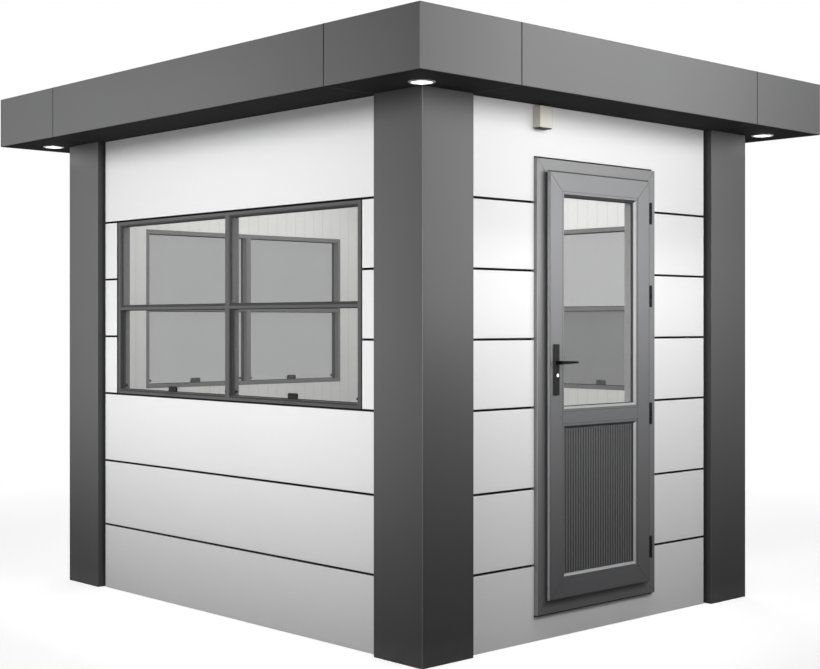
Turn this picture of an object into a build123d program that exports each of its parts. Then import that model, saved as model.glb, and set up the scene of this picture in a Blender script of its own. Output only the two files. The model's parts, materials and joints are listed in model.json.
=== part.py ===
from build123d import *
import os

# Guard booth, in millimetres. X runs along the door wall, Y from the door wall to the back, Z up.
# The origin is the middle of the plan, on the ground. Each wall is drawn as seen from outside:
# its own X to the right, Y up, and depth measured inwards from the face of the corner columns.

# Plan and heights
plan_width = 2317.0
plan_depth = 2830.0
soffit_height = 2394.0
roof_height = 2656.0
roof_overhang = 273.0
half_width = plan_width / 2
half_depth = plan_depth / 2

# Corner columns, folded from sheet
column_face = 300.0
column_sheet = 3.0
column_corner_radius = 4.0
column_gap = 19.0

# Wall build-up, as depths behind the column face
board_front = 35.0
board_thickness = 16.0
core_front = board_front + board_thickness
core_thickness = 44.0
wall_back = core_front + core_thickness
joint_width = 10.0
joint_heights = [340.0, 683.0, 1043.6, 1348.5, 1653.0, 1958.0]
window_rows = (3, 4, 5)

# Base and floor
base_height = 116.0
base_member = 60.0
base_joist = 50.0
base_joist_count = 8
post_sheet = 3.0
floor_thickness = 30.0

# Windows
window_bottom = 1047.5
window_top = 1953.0
window_half_side = 980.9
window_half_back = 723.0
window_shift = 10.0
window_front = board_front + 2.0
window_jamb = 21.5
window_head = 14.0
window_sill = 13.0
window_mullion = 32.0
transom_bottom = 1489.0
transom_top = 1502.5
gasket_step = 8.5
gasket_step_depth = 6.0
glass_thickness = 6.0
upper_glass_depth = window_front + 8.0
lower_glass_depth = window_front + 21.0
drain_slot_length = 86.0
drain_slot_height = 7.0
drain_slot_depth = 3.0
latch_width = 67.0
latch_height = 29.0
latch_thickness = 10.0
latch_shoulder = 6.0
latch_edge = 1.5

# Door frame, in the door wall's own X from the middle of the wall
frame_left = 721.0 - half_width
frame_right = 1569.5 - half_width
frame_bottom = base_height
frame_top = 2156.0
frame_front = 15.0
frame_inner_left = 790.0 - half_width
frame_inner_right = 1472.0 - half_width
frame_inner_bottom = 199.0
frame_inner_top = 2078.0
frame_end_gap = 8.0
frame_side_gap = 1.0
frame_edge_radius = 3.0

# Door leaf: a rebated flange that laps over the frame, and a body that goes into it
leaf_left = 771.5 - half_width
leaf_right = 1490.0 - half_width
leaf_bottom = 181.0
leaf_top = 2096.0
leaf_front = -14.0
leaf_flange_back = 0.0
leaf_back = 54.0
leaf_rebate = 3.0
leaf_side_clearance = 8.0
leaf_hinge_clearance = 6.0
leaf_end_clearance = 6.0
light_left = 856.5 - half_width
light_right = 1401.5 - half_width
door_glass_bottom = 1020.5
door_glass_top = 2012.5
door_panel_bottom = 267.0
door_panel_top = 967.0
bead_width = 22.0
bead_front = -13.0
bead_chamfer = 10.0
inner_bead_back = 50.0
pane_edge_cover = 14.0
door_glass_depth = 2.0
door_glass_thickness = 6.0
panel_depth = 3.0
panel_thickness = 12.0
rib_pitch = 17.7
rib_base = 11.0
rib_crown = 4.0
rib_height = 4.0
rib_end_gap = 1.0

# Hinges
hinge_x = 1510.0 - half_width
hinge_depth = -7.0
hinge_heights = [344.0, 986.0, 1548.0, 1946.0]
hinge_length = 99.0
hinge_knuckle_gap = 0.6
hinge_radius = 7.0
hinge_pin_radius = 3.5
hinge_pin_clearance = 0.1
hinge_wing_width = 30.0
hinge_wing_thickness = 4.0
hinge_lug_thickness = 6.0

# Lever set
lever_x = 812.5 - half_width
lever_height = 1243.0
cylinder_height = 1186.0
plate_width = 34.0
plate_bottom = 1096.0
plate_top = 1325.0
plate_thickness = 8.0
plate_corner_radius = 4.0
plate_edge = 2.0
neck_radius = 8.0
neck_clearance = 0.1
leaf_bore_radius = 12.0
lever_standoff = 30.0
lever_length = 106.0
lever_bar = 10.0
lever_hub_radius = 8.0
lever_tip_radius = 4.7
cylinder_radius = 8.5
cylinder_bore_radius = 9.0
cylinder_collar_radius = 10.5
cylinder_collar = 3.0
keyway_width = 2.4
keyway_height = 11.0
keyway_depth = 2.0

# Roof
cassette_sheet = 3.0
cassette_leg = 577.5
cassette_gap = 6.0
cassette_soffit = roof_overhang + wall_back
cassette_flange = 80.0
cassette_lip = 24.0
ceiling_thickness = 40.0
ceiling_inset = 60.0
deck_top = 2600.0
deck_thickness = 20.0
deck_joist = 50.0
deck_joist_count = 13
deck_rib_count = 9
deck_rib_height = 16.0
deck_rib_base = 50.0
deck_rib_crown = 24.0

# Downlights under the roof corners, and the small housing over the door
light_offset = 62.0
light_ring_radius = 56.5
light_lens_radius = 46.0
light_ring_height = 4.0
light_ring_taper = 2.5
light_lens_height = 2.5
housing_left = 711.0 - half_width
housing_width = 83.0
housing_bottom = 2289.0
housing_top = 2385.0
housing_depth = 46.0
housing_radius = 6.0

walls = {
    "front": Plane(origin=(0, -half_depth, 0), x_dir=(1, 0, 0), z_dir=(0, -1, 0)),
    "back": Plane(origin=(0, half_depth, 0), x_dir=(-1, 0, 0), z_dir=(0, 1, 0)),
    "left": Plane(origin=(-half_width, 0, 0), x_dir=(0, -1, 0), z_dir=(-1, 0, 0)),
    "right": Plane(origin=(half_width, 0, 0), x_dir=(0, 1, 0), z_dir=(1, 0, 0)),
}
wall_lengths = {"front": plan_width, "back": plan_width, "left": plan_depth, "right": plan_depth}
window_halves = {"back": window_half_back, "left": window_half_side, "right": window_half_side}
window_middles = {"back": 0.0, "left": window_shift, "right": -window_shift}


# Shapes shared by several pieces

def on_wall(side, shape):
    """A shape drawn on a wall's own plane, moved to where that wall stands."""
    return walls[side].location * shape


def slab(x0, x1, y0, y1, front, back):
    """A plain board on a wall plane, from one depth to another behind the column face."""
    size = Box(x1 - x0, y1 - y0, back - front)
    return Pos((x0 + x1) / 2, (y0 + y1) / 2, -(front + back) / 2) * size


def block(x0, x1, y0, y1, z0, z1):
    """A plain block in the booth's own axes."""
    return Pos((x0 + x1) / 2, (y0 + y1) / 2, (z0 + z1) / 2) * Box(x1 - x0, y1 - y0, z1 - z0)


def ring(outer, inner, front, back):
    """A rectangular ring on a wall plane. outer and inner are (x0, x1, y0, y1)."""
    return slab(*outer, front, back) - slab(*inner, front, back)


def inset(opening, amount):
    x0, x1, y0, y1 = opening
    return (x0 + amount, x1 - amount, y0 + amount, y1 - amount)


def row_limits():
    """The bottom and top of each row of wall boards, with a joint between rows."""
    half = joint_width / 2
    bottoms = [0.0] + [height + half for height in joint_heights]
    tops = [height - half for height in joint_heights] + [soffit_height]
    return list(zip(bottoms, tops))


def four_corners(shape):
    """A piece at the front left corner, and its mirror images at the other three."""
    right = mirror(shape, about=Plane.YZ)
    return {
        "front_left": shape,
        "front_right": right,
        "back_left": mirror(shape, about=Plane.XZ),
        "back_right": mirror(right, about=Plane.XZ),
    }


# Base, floor and posts

def base_frame():
    """A welded ring of channels on the ground with floor joists across it."""
    x = half_width - core_front
    y = half_depth - core_front
    frame = block(-x, x, -y, y, 0, base_height)
    frame -= block(-x + base_member, x - base_member, -y + base_member, y - base_member, 0, base_height)
    clear = 2 * (y - base_member) - base_joist_count * base_joist
    pitch = clear / (base_joist_count + 1) + base_joist
    for index in range(base_joist_count):
        start = -y + base_member + (index + 1) * pitch - base_joist
        frame += block(-x + base_member, x - base_member, start, start + base_joist, 0, base_height)
    return frame


def floor_deck():
    x = half_width - wall_back
    y = half_depth - wall_back
    return block(-x, x, -y, y, base_height, base_height + floor_thickness)


def corner_posts():
    """Square tubes that stand on the base frame where two walls meet."""
    x = -half_width + core_front + core_thickness / 2
    y = -half_depth + core_front + core_thickness / 2
    hollow = core_thickness - 2 * post_sheet
    section = Rectangle(core_thickness, core_thickness) - Rectangle(hollow, hollow)
    post = Pos(x, y, base_height) * extrude(section, soffit_height - base_height)
    return Compound(children=list(four_corners(post).values()))


# Corner columns

def corner_column():
    """The front left column: a folded sheet with two faces and two returns to the wall."""
    x = -half_width
    y = -half_depth
    reach = core_front
    solid = block(x, x + column_face, y, y + reach, 0, soffit_height)
    solid += block(x, x + reach, y, y + column_face, 0, soffit_height)
    solid = fillet(solid.edges().filter_by(Axis.Z).sort_by_distance((x, y, 0))[0], column_corner_radius)
    inner = column_sheet
    hollow = block(x + inner, x + column_face - inner, y + inner, y + reach, 0, soffit_height)
    hollow += block(x + inner, x + reach, y + inner, y + column_face - inner, 0, soffit_height)
    return solid - hollow


# Walls

def window_hole(side):
    """The outer edge of a window frame, as (x0, x1, y0, y1) on its wall."""
    middle = window_middles[side]
    half = window_halves[side]
    return (middle - half, middle + half, window_bottom, window_top)


def window_wall(side):
    """One insulated wall panel with the window cut through it."""
    half = wall_lengths[side] / 2 - wall_back
    panel = slab(-half, half, base_height, soffit_height, core_front, wall_back)
    return on_wall(side, panel - slab(*window_hole(side), core_front, wall_back))


def window_wall_boards(side):
    """The boards outside a window wall, with open joints between rows and round the window."""
    half = wall_lengths[side] / 2 - column_face - column_gap
    left, right, _, _ = window_hole(side)
    boards = []
    for index, (bottom, top) in enumerate(row_limits()):
        if index in window_rows:
            boards.append(slab(-half, left - joint_width, bottom, top, board_front, core_front))
            boards.append(slab(right + joint_width, half, bottom, top, board_front, core_front))
        else:
            boards.append(slab(-half, half, bottom, top, board_front, core_front))
    return on_wall(side, Compound(children=boards))


def front_wall(x0, x1, bottom, top):
    return on_wall("front", slab(x0, x1, bottom, top, core_front, wall_back))


def front_boards(x0, x1):
    """The boards beside the door, but for the top and bottom rows, which run right across."""
    rows = row_limits()[1:-1]
    boards = [slab(x0, x1, bottom, top, board_front, core_front) for bottom, top in rows]
    return on_wall("front", Compound(children=boards))


def door_bay_boards(x0, x1):
    """The top and bottom boards of the door wall, each notched round the door frame."""
    left = frame_left - frame_side_gap
    right = frame_right + frame_side_gap
    notch = slab(
        left, right, frame_bottom - frame_end_gap, frame_top + frame_end_gap, board_front, core_front
    )
    rows = row_limits()
    bottom, top = (slab(x0, x1, *limits, board_front, core_front) - notch for limits in (rows[0], rows[-1]))
    return on_wall("front", top), on_wall("front", bottom)


# Windows

def window_openings(side):
    """The four glazed openings as (x0, x1, y0, y1), lower pair first."""
    left, right, bottom, top = window_hole(side)
    middle = (left + right) / 2
    spans = [
        (left + window_jamb, middle - window_mullion / 2),
        (middle + window_mullion / 2, right - window_jamb),
    ]
    heights = [
        (bottom + window_sill + gasket_step, transom_bottom),
        (transom_top + gasket_step, top - window_head - gasket_step),
    ]
    return [(*span, *height) for height in heights for span in spans]


def window_frame(side):
    """Frame, mullion and transom in one, with a gasket step round the panes and drain slots."""
    frame = slab(*window_hole(side), window_front, wall_back)
    for index, (x0, x1, y0, y1) in enumerate(window_openings(side)):
        frame -= slab(x0, x1, y0, y1, window_front, wall_back)
        lower = index < 2
        step_top = y1 if lower else y1 + gasket_step
        step_back = window_front + gasket_step_depth
        frame -= slab(x0, x1, y0 - gasket_step, step_top, window_front, step_back)
        if lower:
            slot = SlotOverall(drain_slot_length, drain_slot_height)
            cut = extrude(slot, drain_slot_depth)
            height = window_bottom + window_sill / 2
            frame -= Pos((x0 + x1) / 2, height, -window_front - drain_slot_depth) * cut
    return on_wall(side, frame)


def window_glass(side):
    """Four panes. The upper pair stands in the front track, the lower pair in the track behind it."""
    panes = []
    for index, opening in enumerate(window_openings(side)):
        depth = lower_glass_depth if index < 2 else upper_glass_depth
        panes.append(slab(*opening, depth, depth + glass_thickness))
    return on_wall(side, Compound(children=panes))


def window_latches():
    """A cut-cornered finger latch at the foot of each lower pane."""
    latches = []
    for side in window_halves:
        for x0, x1, y0, _ in window_openings(side)[:2]:
            body = Box(latch_width, latch_height, latch_thickness)
            body = chamfer(body.edges().filter_by(Axis.Z).group_by(Axis.Y)[-1], latch_shoulder)
            body = chamfer(body.faces().sort_by(Axis.Z)[-1].edges(), latch_edge)
            middle = Pos((x0 + x1) / 2, y0 + latch_height / 2, -lower_glass_depth + latch_thickness / 2)
            latches.append(on_wall(side, middle * body))
    return Compound(children=latches)


# Door frame and leaf

def door_frame():
    """A deep frame that stands proud of the boards, with eased front edges."""
    outer = (frame_left, frame_right, frame_bottom, frame_top)
    inner = (frame_inner_left, frame_inner_right, frame_inner_bottom, frame_inner_top)
    frame = ring(outer, inner, frame_front, wall_back)
    front = frame.faces().sort_by(Axis.Z)[-1]
    return on_wall("front", fillet(front.outer_wire().edges(), frame_edge_radius))


def leaf_openings():
    """The glazed opening and the panel opening, as (x0, x1, y0, y1)."""
    glass = (light_left, light_right, door_glass_bottom, door_glass_top)
    panel = (light_left, light_right, door_panel_bottom, door_panel_top)
    return glass, panel


def cross_bore(x, y, radius, front, back):
    """A round bar or bore across the wall, from one depth to another."""
    return Pos(x, y, -(front + back) / 2) * Cylinder(radius, back - front)


def door_leaf():
    """Stiles and rails in one: the rebated flange laps the frame, the body fills its opening."""
    outline = (leaf_left, leaf_right, leaf_bottom, leaf_top)
    leaf = slab(*outline, leaf_front + leaf_rebate, leaf_flange_back)
    leaf += slab(*inset(outline, leaf_rebate), leaf_front, leaf_front + leaf_rebate)
    leaf += slab(
        frame_inner_left + leaf_side_clearance,
        frame_inner_right - leaf_hinge_clearance,
        frame_inner_bottom + leaf_end_clearance,
        frame_inner_top - leaf_end_clearance,
        leaf_flange_back,
        leaf_back,
    )
    for opening in leaf_openings():
        leaf -= slab(*opening, leaf_front, leaf_back)
    leaf -= cross_bore(lever_x, lever_height, leaf_bore_radius, leaf_front, leaf_back)
    leaf -= cross_bore(lever_x, cylinder_height, cylinder_bore_radius, leaf_front, leaf_back)
    return on_wall("front", leaf)


def bead_ring(opening, front, back):
    """A glazing bead: a ring in the opening, bevelled towards the pane."""
    bead = ring(opening, inset(opening, bead_width), front, back)
    outer_face = bead.faces().sort_by(Axis.Z)[-1]
    return chamfer(outer_face.inner_wires()[0].edges(), bead_chamfer)


def door_beads():
    """Beads outside and inside, round the glass and round the lower panel."""
    glass, panel = leaf_openings()
    beads = []
    for opening, depth, thickness in (
        (glass, door_glass_depth, door_glass_thickness),
        (panel, panel_depth, panel_thickness),
    ):
        beads.append(bead_ring(opening, bead_front, depth))
        beads.append(ring(opening, inset(opening, bead_width), depth + thickness, inner_bead_back))
    return on_wall("front", Compound(children=beads))


def door_glass():
    glass, _ = leaf_openings()
    pane = inset(glass, bead_width - pane_edge_cover)
    return on_wall("front", slab(*pane, door_glass_depth, door_glass_depth + door_glass_thickness))


def door_panel():
    """The lower panel: a plate with close upright ribs on its outer face."""
    _, opening = leaf_openings()
    x0, x1, y0, y1 = inset(opening, bead_width - pane_edge_cover)
    panel = slab(x0, x1, y0, y1, panel_depth, panel_depth + panel_thickness)
    left, right, bottom, top = inset(opening, bead_width + rib_end_gap)
    count = int((right - left) // rib_pitch)
    start = (left + right) / 2 - (count - 1) * rib_pitch / 2
    with BuildSketch() as section:
        with BuildLine():
            Polyline(
                (-rib_base / 2, 0),
                (rib_base / 2, 0),
                (rib_crown / 2, rib_height),
                (-rib_crown / 2, rib_height),
                close=True,
            )
        make_face()
    rib = Rot(90, 0, 0) * extrude(section.sketch, top - bottom)
    for index in range(count):
        panel += Pos(start + index * rib_pitch, top, -panel_depth) * rib
    return on_wall("front", panel)


# Hinges

def hinge_knuckle(middle_height, length):
    """An upright barrel round the hinge line."""
    barrel = Rot(90, 0, 0) * Cylinder(hinge_radius, length)
    return Pos(hinge_x, middle_height, -hinge_depth) * barrel


def hinge_pair(height):
    """The frame side (two knuckles, wing and pin) and the leaf side (one knuckle and lug)."""
    third = hinge_length / 3
    pin = Pos(hinge_x, height, -hinge_depth) * (Rot(90, 0, 0) * Cylinder(hinge_pin_radius, hinge_length))
    fixed = pin
    for sign in (-1, 1):
        middle = height + sign * third
        fixed += hinge_knuckle(middle, third)
        neck = slab(
            hinge_x, hinge_x + hinge_radius, middle - third / 2, middle + third / 2, hinge_depth, frame_front
        )
        fixed += neck
        wing = slab(
            hinge_x,
            hinge_x + hinge_wing_width,
            middle - third / 2,
            middle + third / 2,
            frame_front - hinge_wing_thickness,
            frame_front,
        )
        fixed += wing
    length = third - 2 * hinge_knuckle_gap
    moving = hinge_knuckle(height, length)
    lug = hinge_lug_thickness / 2
    moving += slab(
        leaf_right, hinge_x, height - length / 2, height + length / 2, hinge_depth - lug, hinge_depth + lug
    )
    bore = Rot(90, 0, 0) * Cylinder(hinge_pin_radius + hinge_pin_clearance, hinge_length)
    moving -= Pos(hinge_x, height, -hinge_depth) * bore
    return on_wall("front", fixed), on_wall("front", moving)


# Lever set

def backplates():
    """The long plates outside and inside, bored for the lever neck and the lock cylinder."""
    middle = (plate_bottom + plate_top) / 2
    plates = []
    for front, outward in ((leaf_front - plate_thickness, 1), (leaf_back, -1)):
        plate = Pos(lever_x, middle, 0) * Box(plate_width, plate_top - plate_bottom, plate_thickness)
        plate = fillet(plate.edges().filter_by(Axis.Z), plate_corner_radius)
        face = plate.faces().sort_by(Axis.Z)[-1 if outward > 0 else 0]
        plate = chamfer(face.edges(), plate_edge)
        plate = Pos(0, 0, -front - plate_thickness / 2) * plate
        plate -= cross_bore(
            lever_x, lever_height, neck_radius + neck_clearance, front, front + plate_thickness
        )
        plate -= cross_bore(lever_x, cylinder_height, cylinder_bore_radius, front, front + plate_thickness)
        plates.append(plate)
    return on_wall("front", Compound(children=plates))


def lever_arm(depth_middle):
    """A flat bar with a round end over the spindle, tapering a little to its rounded tip."""
    root = lever_hub_radius
    tip = lever_tip_radius
    reach = lever_length - tip
    with BuildSketch() as outline:
        Circle(root)
        with BuildLine() as edges:
            Polyline((0, -root), (reach, -tip), (reach, tip), (0, root), close=True)
        make_face()
        with Locations((reach, 0)):
            Circle(tip)
    arm = extrude(outline.sketch, lever_bar)
    return Pos(lever_x, lever_height, -depth_middle - lever_bar / 2) * arm


def door_lever():
    """Both levers on one spindle that turns in the plates."""
    outside = leaf_front - plate_thickness - lever_standoff
    inside = leaf_back + plate_thickness + lever_standoff
    lever = cross_bore(lever_x, lever_height, neck_radius, outside, inside)
    lever += lever_arm(outside)
    lever += lever_arm(inside)
    return on_wall("front", lever)


def lock_cylinder():
    """A round key cylinder through the leaf, with a collar on each plate."""
    outside = leaf_front - plate_thickness
    inside = leaf_back + plate_thickness
    body = cross_bore(lever_x, cylinder_height, cylinder_radius, outside, inside)
    for front in (outside - cylinder_collar, inside):
        body += cross_bore(
            lever_x, cylinder_height, cylinder_collar_radius, front, front + cylinder_collar
        )
    keyway = Box(keyway_width, keyway_height, 2 * keyway_depth)
    for depth in (outside - cylinder_collar, inside + cylinder_collar):
        body -= Pos(lever_x, cylinder_height, -depth) * keyway
    return on_wall("front", body)


# Roof

def cassette_corner():
    """The front left roof corner: two fascias, an L of soffit and a turned-in top edge."""
    x = -half_width - roof_overhang
    y = -half_depth - roof_overhang
    leg = cassette_leg - cassette_gap / 2
    deep = cassette_soffit

    def angle(start, width, bottom, top):
        """Two arms of the corner, from start mm inside the outer faces to width."""
        one = block(x + start, x + leg, y + start, y + width, bottom, top)
        return one + block(x + start, x + width, y + start, y + leg, bottom, top)

    sheet = cassette_sheet
    corner = angle(0, deep, soffit_height, roof_height)
    corner -= angle(sheet, deep, soffit_height + sheet, roof_height - sheet)
    corner -= angle(cassette_flange, deep, soffit_height + sheet, roof_height)
    corner += angle(0, cassette_flange, roof_height - cassette_lip, roof_height) - angle(
        0, cassette_flange - sheet, roof_height - cassette_lip, roof_height
    )
    return corner


def cassette_side(side):
    """A straight run of fascia, soffit and turned-in top edge between two corners."""
    sheet = cassette_sheet
    height = roof_height - soffit_height
    points = [
        (0, 0),
        (cassette_soffit, 0),
        (cassette_soffit, sheet),
        (sheet, sheet),
        (sheet, height - sheet),
        (cassette_flange - sheet, height - sheet),
        (cassette_flange - sheet, height - cassette_lip),
        (cassette_flange, height - cassette_lip),
        (cassette_flange, height),
        (0, height),
    ]
    with BuildSketch(Plane.YZ) as section:
        with BuildLine():
            Polyline(*[(rise, -depth) for depth, rise in points], close=True)
        make_face()
    length = wall_lengths[side] + 2 * roof_overhang - 2 * cassette_leg - cassette_gap
    run = extrude(section.sketch, length / 2, both=True)
    return on_wall(side, Pos(0, soffit_height, roof_overhang) * run)


def ceiling():
    x = half_width - ceiling_inset
    y = half_depth - ceiling_inset
    bottom = soffit_height + cassette_sheet
    return block(-x, x, -y, y, bottom, bottom + ceiling_thickness)


def roof_deck():
    """The weathering deck inside the fascias, on joists, with low ribs along its top."""
    x = half_width + roof_overhang - cassette_sheet
    y = half_depth + roof_overhang - cassette_sheet
    deck = block(-x, x, -y, y, deck_top - deck_thickness, deck_top)
    joist_bottom = soffit_height + cassette_sheet + ceiling_thickness
    pitch = (2 * y - deck_joist) / (deck_joist_count - 1)
    for index in range(deck_joist_count):
        start = -y + index * pitch
        deck += block(-x, x, start, start + deck_joist, joist_bottom, deck_top - deck_thickness)
    run = 2 * (y - cassette_flange)
    with BuildSketch(Plane.XZ) as section:
        with BuildLine():
            Polyline(
                (-deck_rib_base / 2, 0),
                (deck_rib_base / 2, 0),
                (deck_rib_crown / 2, deck_rib_height),
                (-deck_rib_crown / 2, deck_rib_height),
                close=True,
            )
        make_face()
    rib = extrude(section.sketch, run / 2, both=True)
    spacing = 2 * (x - cassette_flange) / deck_rib_count
    for index in range(deck_rib_count):
        place = -x + cassette_flange + (index + 0.5) * spacing
        deck += Pos(place, 0, deck_top) * rib
    return deck


def downlights():
    """A slim round lamp under each roof corner: its ring, and the lens inside it."""
    x = -half_width - light_offset
    y = -half_depth - light_offset
    hang = (Align.CENTER, Align.CENTER, Align.MAX)
    outer = Cone(light_ring_radius - light_ring_taper, light_ring_radius, light_ring_height, align=hang)
    inner = Cylinder(light_lens_radius, light_ring_height, align=hang)
    lens = Cylinder(light_lens_radius, light_lens_height, align=hang)
    place = Pos(x, y, soffit_height)
    rings = four_corners(place * (outer - inner))
    lenses = four_corners(place * lens)
    return Compound(children=list(rings.values())), Compound(children=list(lenses.values()))


def door_housing():
    """The small plastic housing over the door."""
    body = slab(
        housing_left,
        housing_left + housing_width,
        housing_bottom,
        housing_top,
        board_front - housing_depth,
        board_front,
    )
    return on_wall("front", fillet(body.edges().filter_by(Axis.Z), housing_radius))


# The booth

def booth():
    """Every piece by the name of its node."""
    pieces = {
        "base_frame": base_frame(),
        "floor_deck": floor_deck(),
        "corner_posts": corner_posts(),
        "ceiling": ceiling(),
        "roof_deck": roof_deck(),
        "door_frame": door_frame(),
        "door_leaf": door_leaf(),
        "door_glass": door_glass(),
        "door_glazing_beads": door_beads(),
        "door_lower_panel": door_panel(),
        "door_backplates": backplates(),
        "door_lever": door_lever(),
        "door_lock_cylinder": lock_cylinder(),
        "window_latches": window_latches(),
        "sensor_housing": door_housing(),
    }
    for place, column in four_corners(corner_column()).items():
        pieces[f"corner_column_{place}"] = column
    for place, corner in four_corners(cassette_corner()).items():
        pieces[f"roof_corner_{place}"] = corner
    for side in walls:
        pieces[f"roof_fascia_{side}"] = cassette_side(side)
    for side in window_halves:
        pieces[f"{side}_wall"] = window_wall(side)
        pieces[f"{side}_wall_boards"] = window_wall_boards(side)
        pieces[f"{side}_window_frame"] = window_frame(side)
        pieces[f"{side}_window_glass"] = window_glass(side)

    wall_end = half_width - wall_back
    board_end = half_width - column_face - column_gap
    board_left = frame_left - frame_side_gap
    board_right = frame_right + frame_side_gap
    pieces["front_wall_left"] = front_wall(-wall_end, frame_left, base_height, soffit_height)
    pieces["front_wall_right"] = front_wall(frame_right, wall_end, base_height, soffit_height)
    pieces["front_wall_over_door"] = front_wall(frame_left, frame_right, frame_top, soffit_height)
    pieces["front_boards_left"] = front_boards(-board_end, board_left)
    pieces["front_boards_right"] = front_boards(board_right, board_end)
    over, under = door_bay_boards(-board_end, board_end)
    pieces["front_board_over_door"] = over
    pieces["front_board_under_door"] = under

    pairs = [hinge_pair(height) for height in hinge_heights]
    pieces["door_hinges_frame_side"] = Compound(children=[fixed for fixed, _ in pairs])
    pieces["door_hinges_leaf_side"] = Compound(children=[moving for _, moving in pairs])

    rings, lenses = downlights()
    pieces["downlight_rings"] = rings
    pieces["downlight_lenses"] = lenses
    return pieces


os.makedirs("parts", exist_ok=True)
for name, piece in booth().items():
    export_step(piece, f"parts/{name}.step")
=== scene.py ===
"""Looks of a small guard booth: its finishes, seals and fixings, and the studio that it stands in."""
import json
import logging
import math
from dataclasses import dataclass, field
from enum import Enum
from typing import Optional, Sequence, Union

import bmesh
import bpy
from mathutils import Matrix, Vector

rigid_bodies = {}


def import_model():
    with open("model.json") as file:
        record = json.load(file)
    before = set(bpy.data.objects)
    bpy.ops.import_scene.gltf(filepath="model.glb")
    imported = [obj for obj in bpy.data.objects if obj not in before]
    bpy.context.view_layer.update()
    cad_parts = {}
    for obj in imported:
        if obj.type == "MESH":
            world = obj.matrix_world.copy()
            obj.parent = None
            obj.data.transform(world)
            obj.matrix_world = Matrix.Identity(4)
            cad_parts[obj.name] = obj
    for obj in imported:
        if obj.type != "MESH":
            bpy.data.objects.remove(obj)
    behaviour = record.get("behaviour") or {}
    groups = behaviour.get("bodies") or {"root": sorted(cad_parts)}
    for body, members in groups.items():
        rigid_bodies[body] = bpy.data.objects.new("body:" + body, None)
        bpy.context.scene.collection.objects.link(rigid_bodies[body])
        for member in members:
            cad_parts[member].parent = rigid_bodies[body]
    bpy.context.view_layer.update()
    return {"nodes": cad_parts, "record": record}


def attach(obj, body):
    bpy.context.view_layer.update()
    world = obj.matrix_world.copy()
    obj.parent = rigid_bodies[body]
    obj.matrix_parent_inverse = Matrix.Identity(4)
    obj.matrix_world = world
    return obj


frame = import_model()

log = logging.getLogger("booth")

Colour = tuple[float, float, float]
Rect = tuple[float, float, float, float]
Profile = Sequence[tuple[float, float]]

# The booth's main sizes, in metres
HALF_WIDTH = 1.1585
HALF_DEPTH = 1.415
SOFFIT = 2.394
ROOF_TOP = 2.656
OVERHANG = 0.273
SHEET = 0.003
BOARD_FRONT = 0.035
CORE_FRONT = 0.051
WALL_BACK = 0.095


class Side(Enum):
    """The four walls, as someone who faces the door names them."""

    FRONT = "front"
    BACK = "back"
    LEFT = "left"
    RIGHT = "right"

    def place(self, u: float, z: float, depth: float) -> Vector:
        """Gives the point of a wall drawing in the booth's own axes.

        Args:
            u: distance to the right of the wall's middle, as seen from outside.
            z: height over the ground.
            depth: distance inwards from the face of the corner columns.

        Returns:
            The point in metres.
        """
        if self is Side.FRONT:
            return Vector((u, -HALF_DEPTH + depth, z))
        if self is Side.BACK:
            return Vector((-u, HALF_DEPTH - depth, z))
        if self is Side.LEFT:
            return Vector((-HALF_WIDTH + depth, -u, z))
        return Vector((HALF_WIDTH - depth, u, z))


class Body(Enum):
    """The bodies that a piece can ride on."""

    BOOTH = "booth"
    DOOR = "door"
    LEVER = "lever"


def inset(rect: Rect, amount: float) -> Rect:
    """Draws the sides of a rectangle (left, right, bottom, top) in by an amount."""
    left, right, bottom, top = rect
    return (left + amount, right - amount, bottom + amount, top - amount)


# Shader maths


class Value:
    """One output of a shader node. Arithmetic on it adds Math nodes."""

    def __init__(self, shader: "Shader", socket: bpy.types.NodeSocket) -> None:
        """Keeps the shader and the socket that carries the value."""
        self.shader = shader
        self.socket = socket

    def _math(self, operation: str, first: "Number", second: "Number") -> "Value":
        """Adds one Math node for two numbers."""
        return self.shader.node("ShaderNodeMath", {"operation": operation}, {0: first, 1: second})

    def __add__(self, other: "Number") -> "Value":
        """Value + number."""
        return self._math("ADD", self, other)

    def __radd__(self, other: "Number") -> "Value":
        """Number + value."""
        return self._math("ADD", other, self)

    def __sub__(self, other: "Number") -> "Value":
        """Value - number."""
        return self._math("SUBTRACT", self, other)

    def __rsub__(self, other: "Number") -> "Value":
        """Number - value."""
        return self._math("SUBTRACT", other, self)

    def __mul__(self, other: "Number") -> "Value":
        """Value * number."""
        return self._math("MULTIPLY", self, other)

    def __rmul__(self, other: "Number") -> "Value":
        """Number * value."""
        return self._math("MULTIPLY", other, self)

    def __abs__(self) -> "Value":
        """The value without its sign."""
        return self.shader.node("ShaderNodeMath", {"operation": "ABSOLUTE"}, {0: self})


Number = Union[float, Value]


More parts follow.
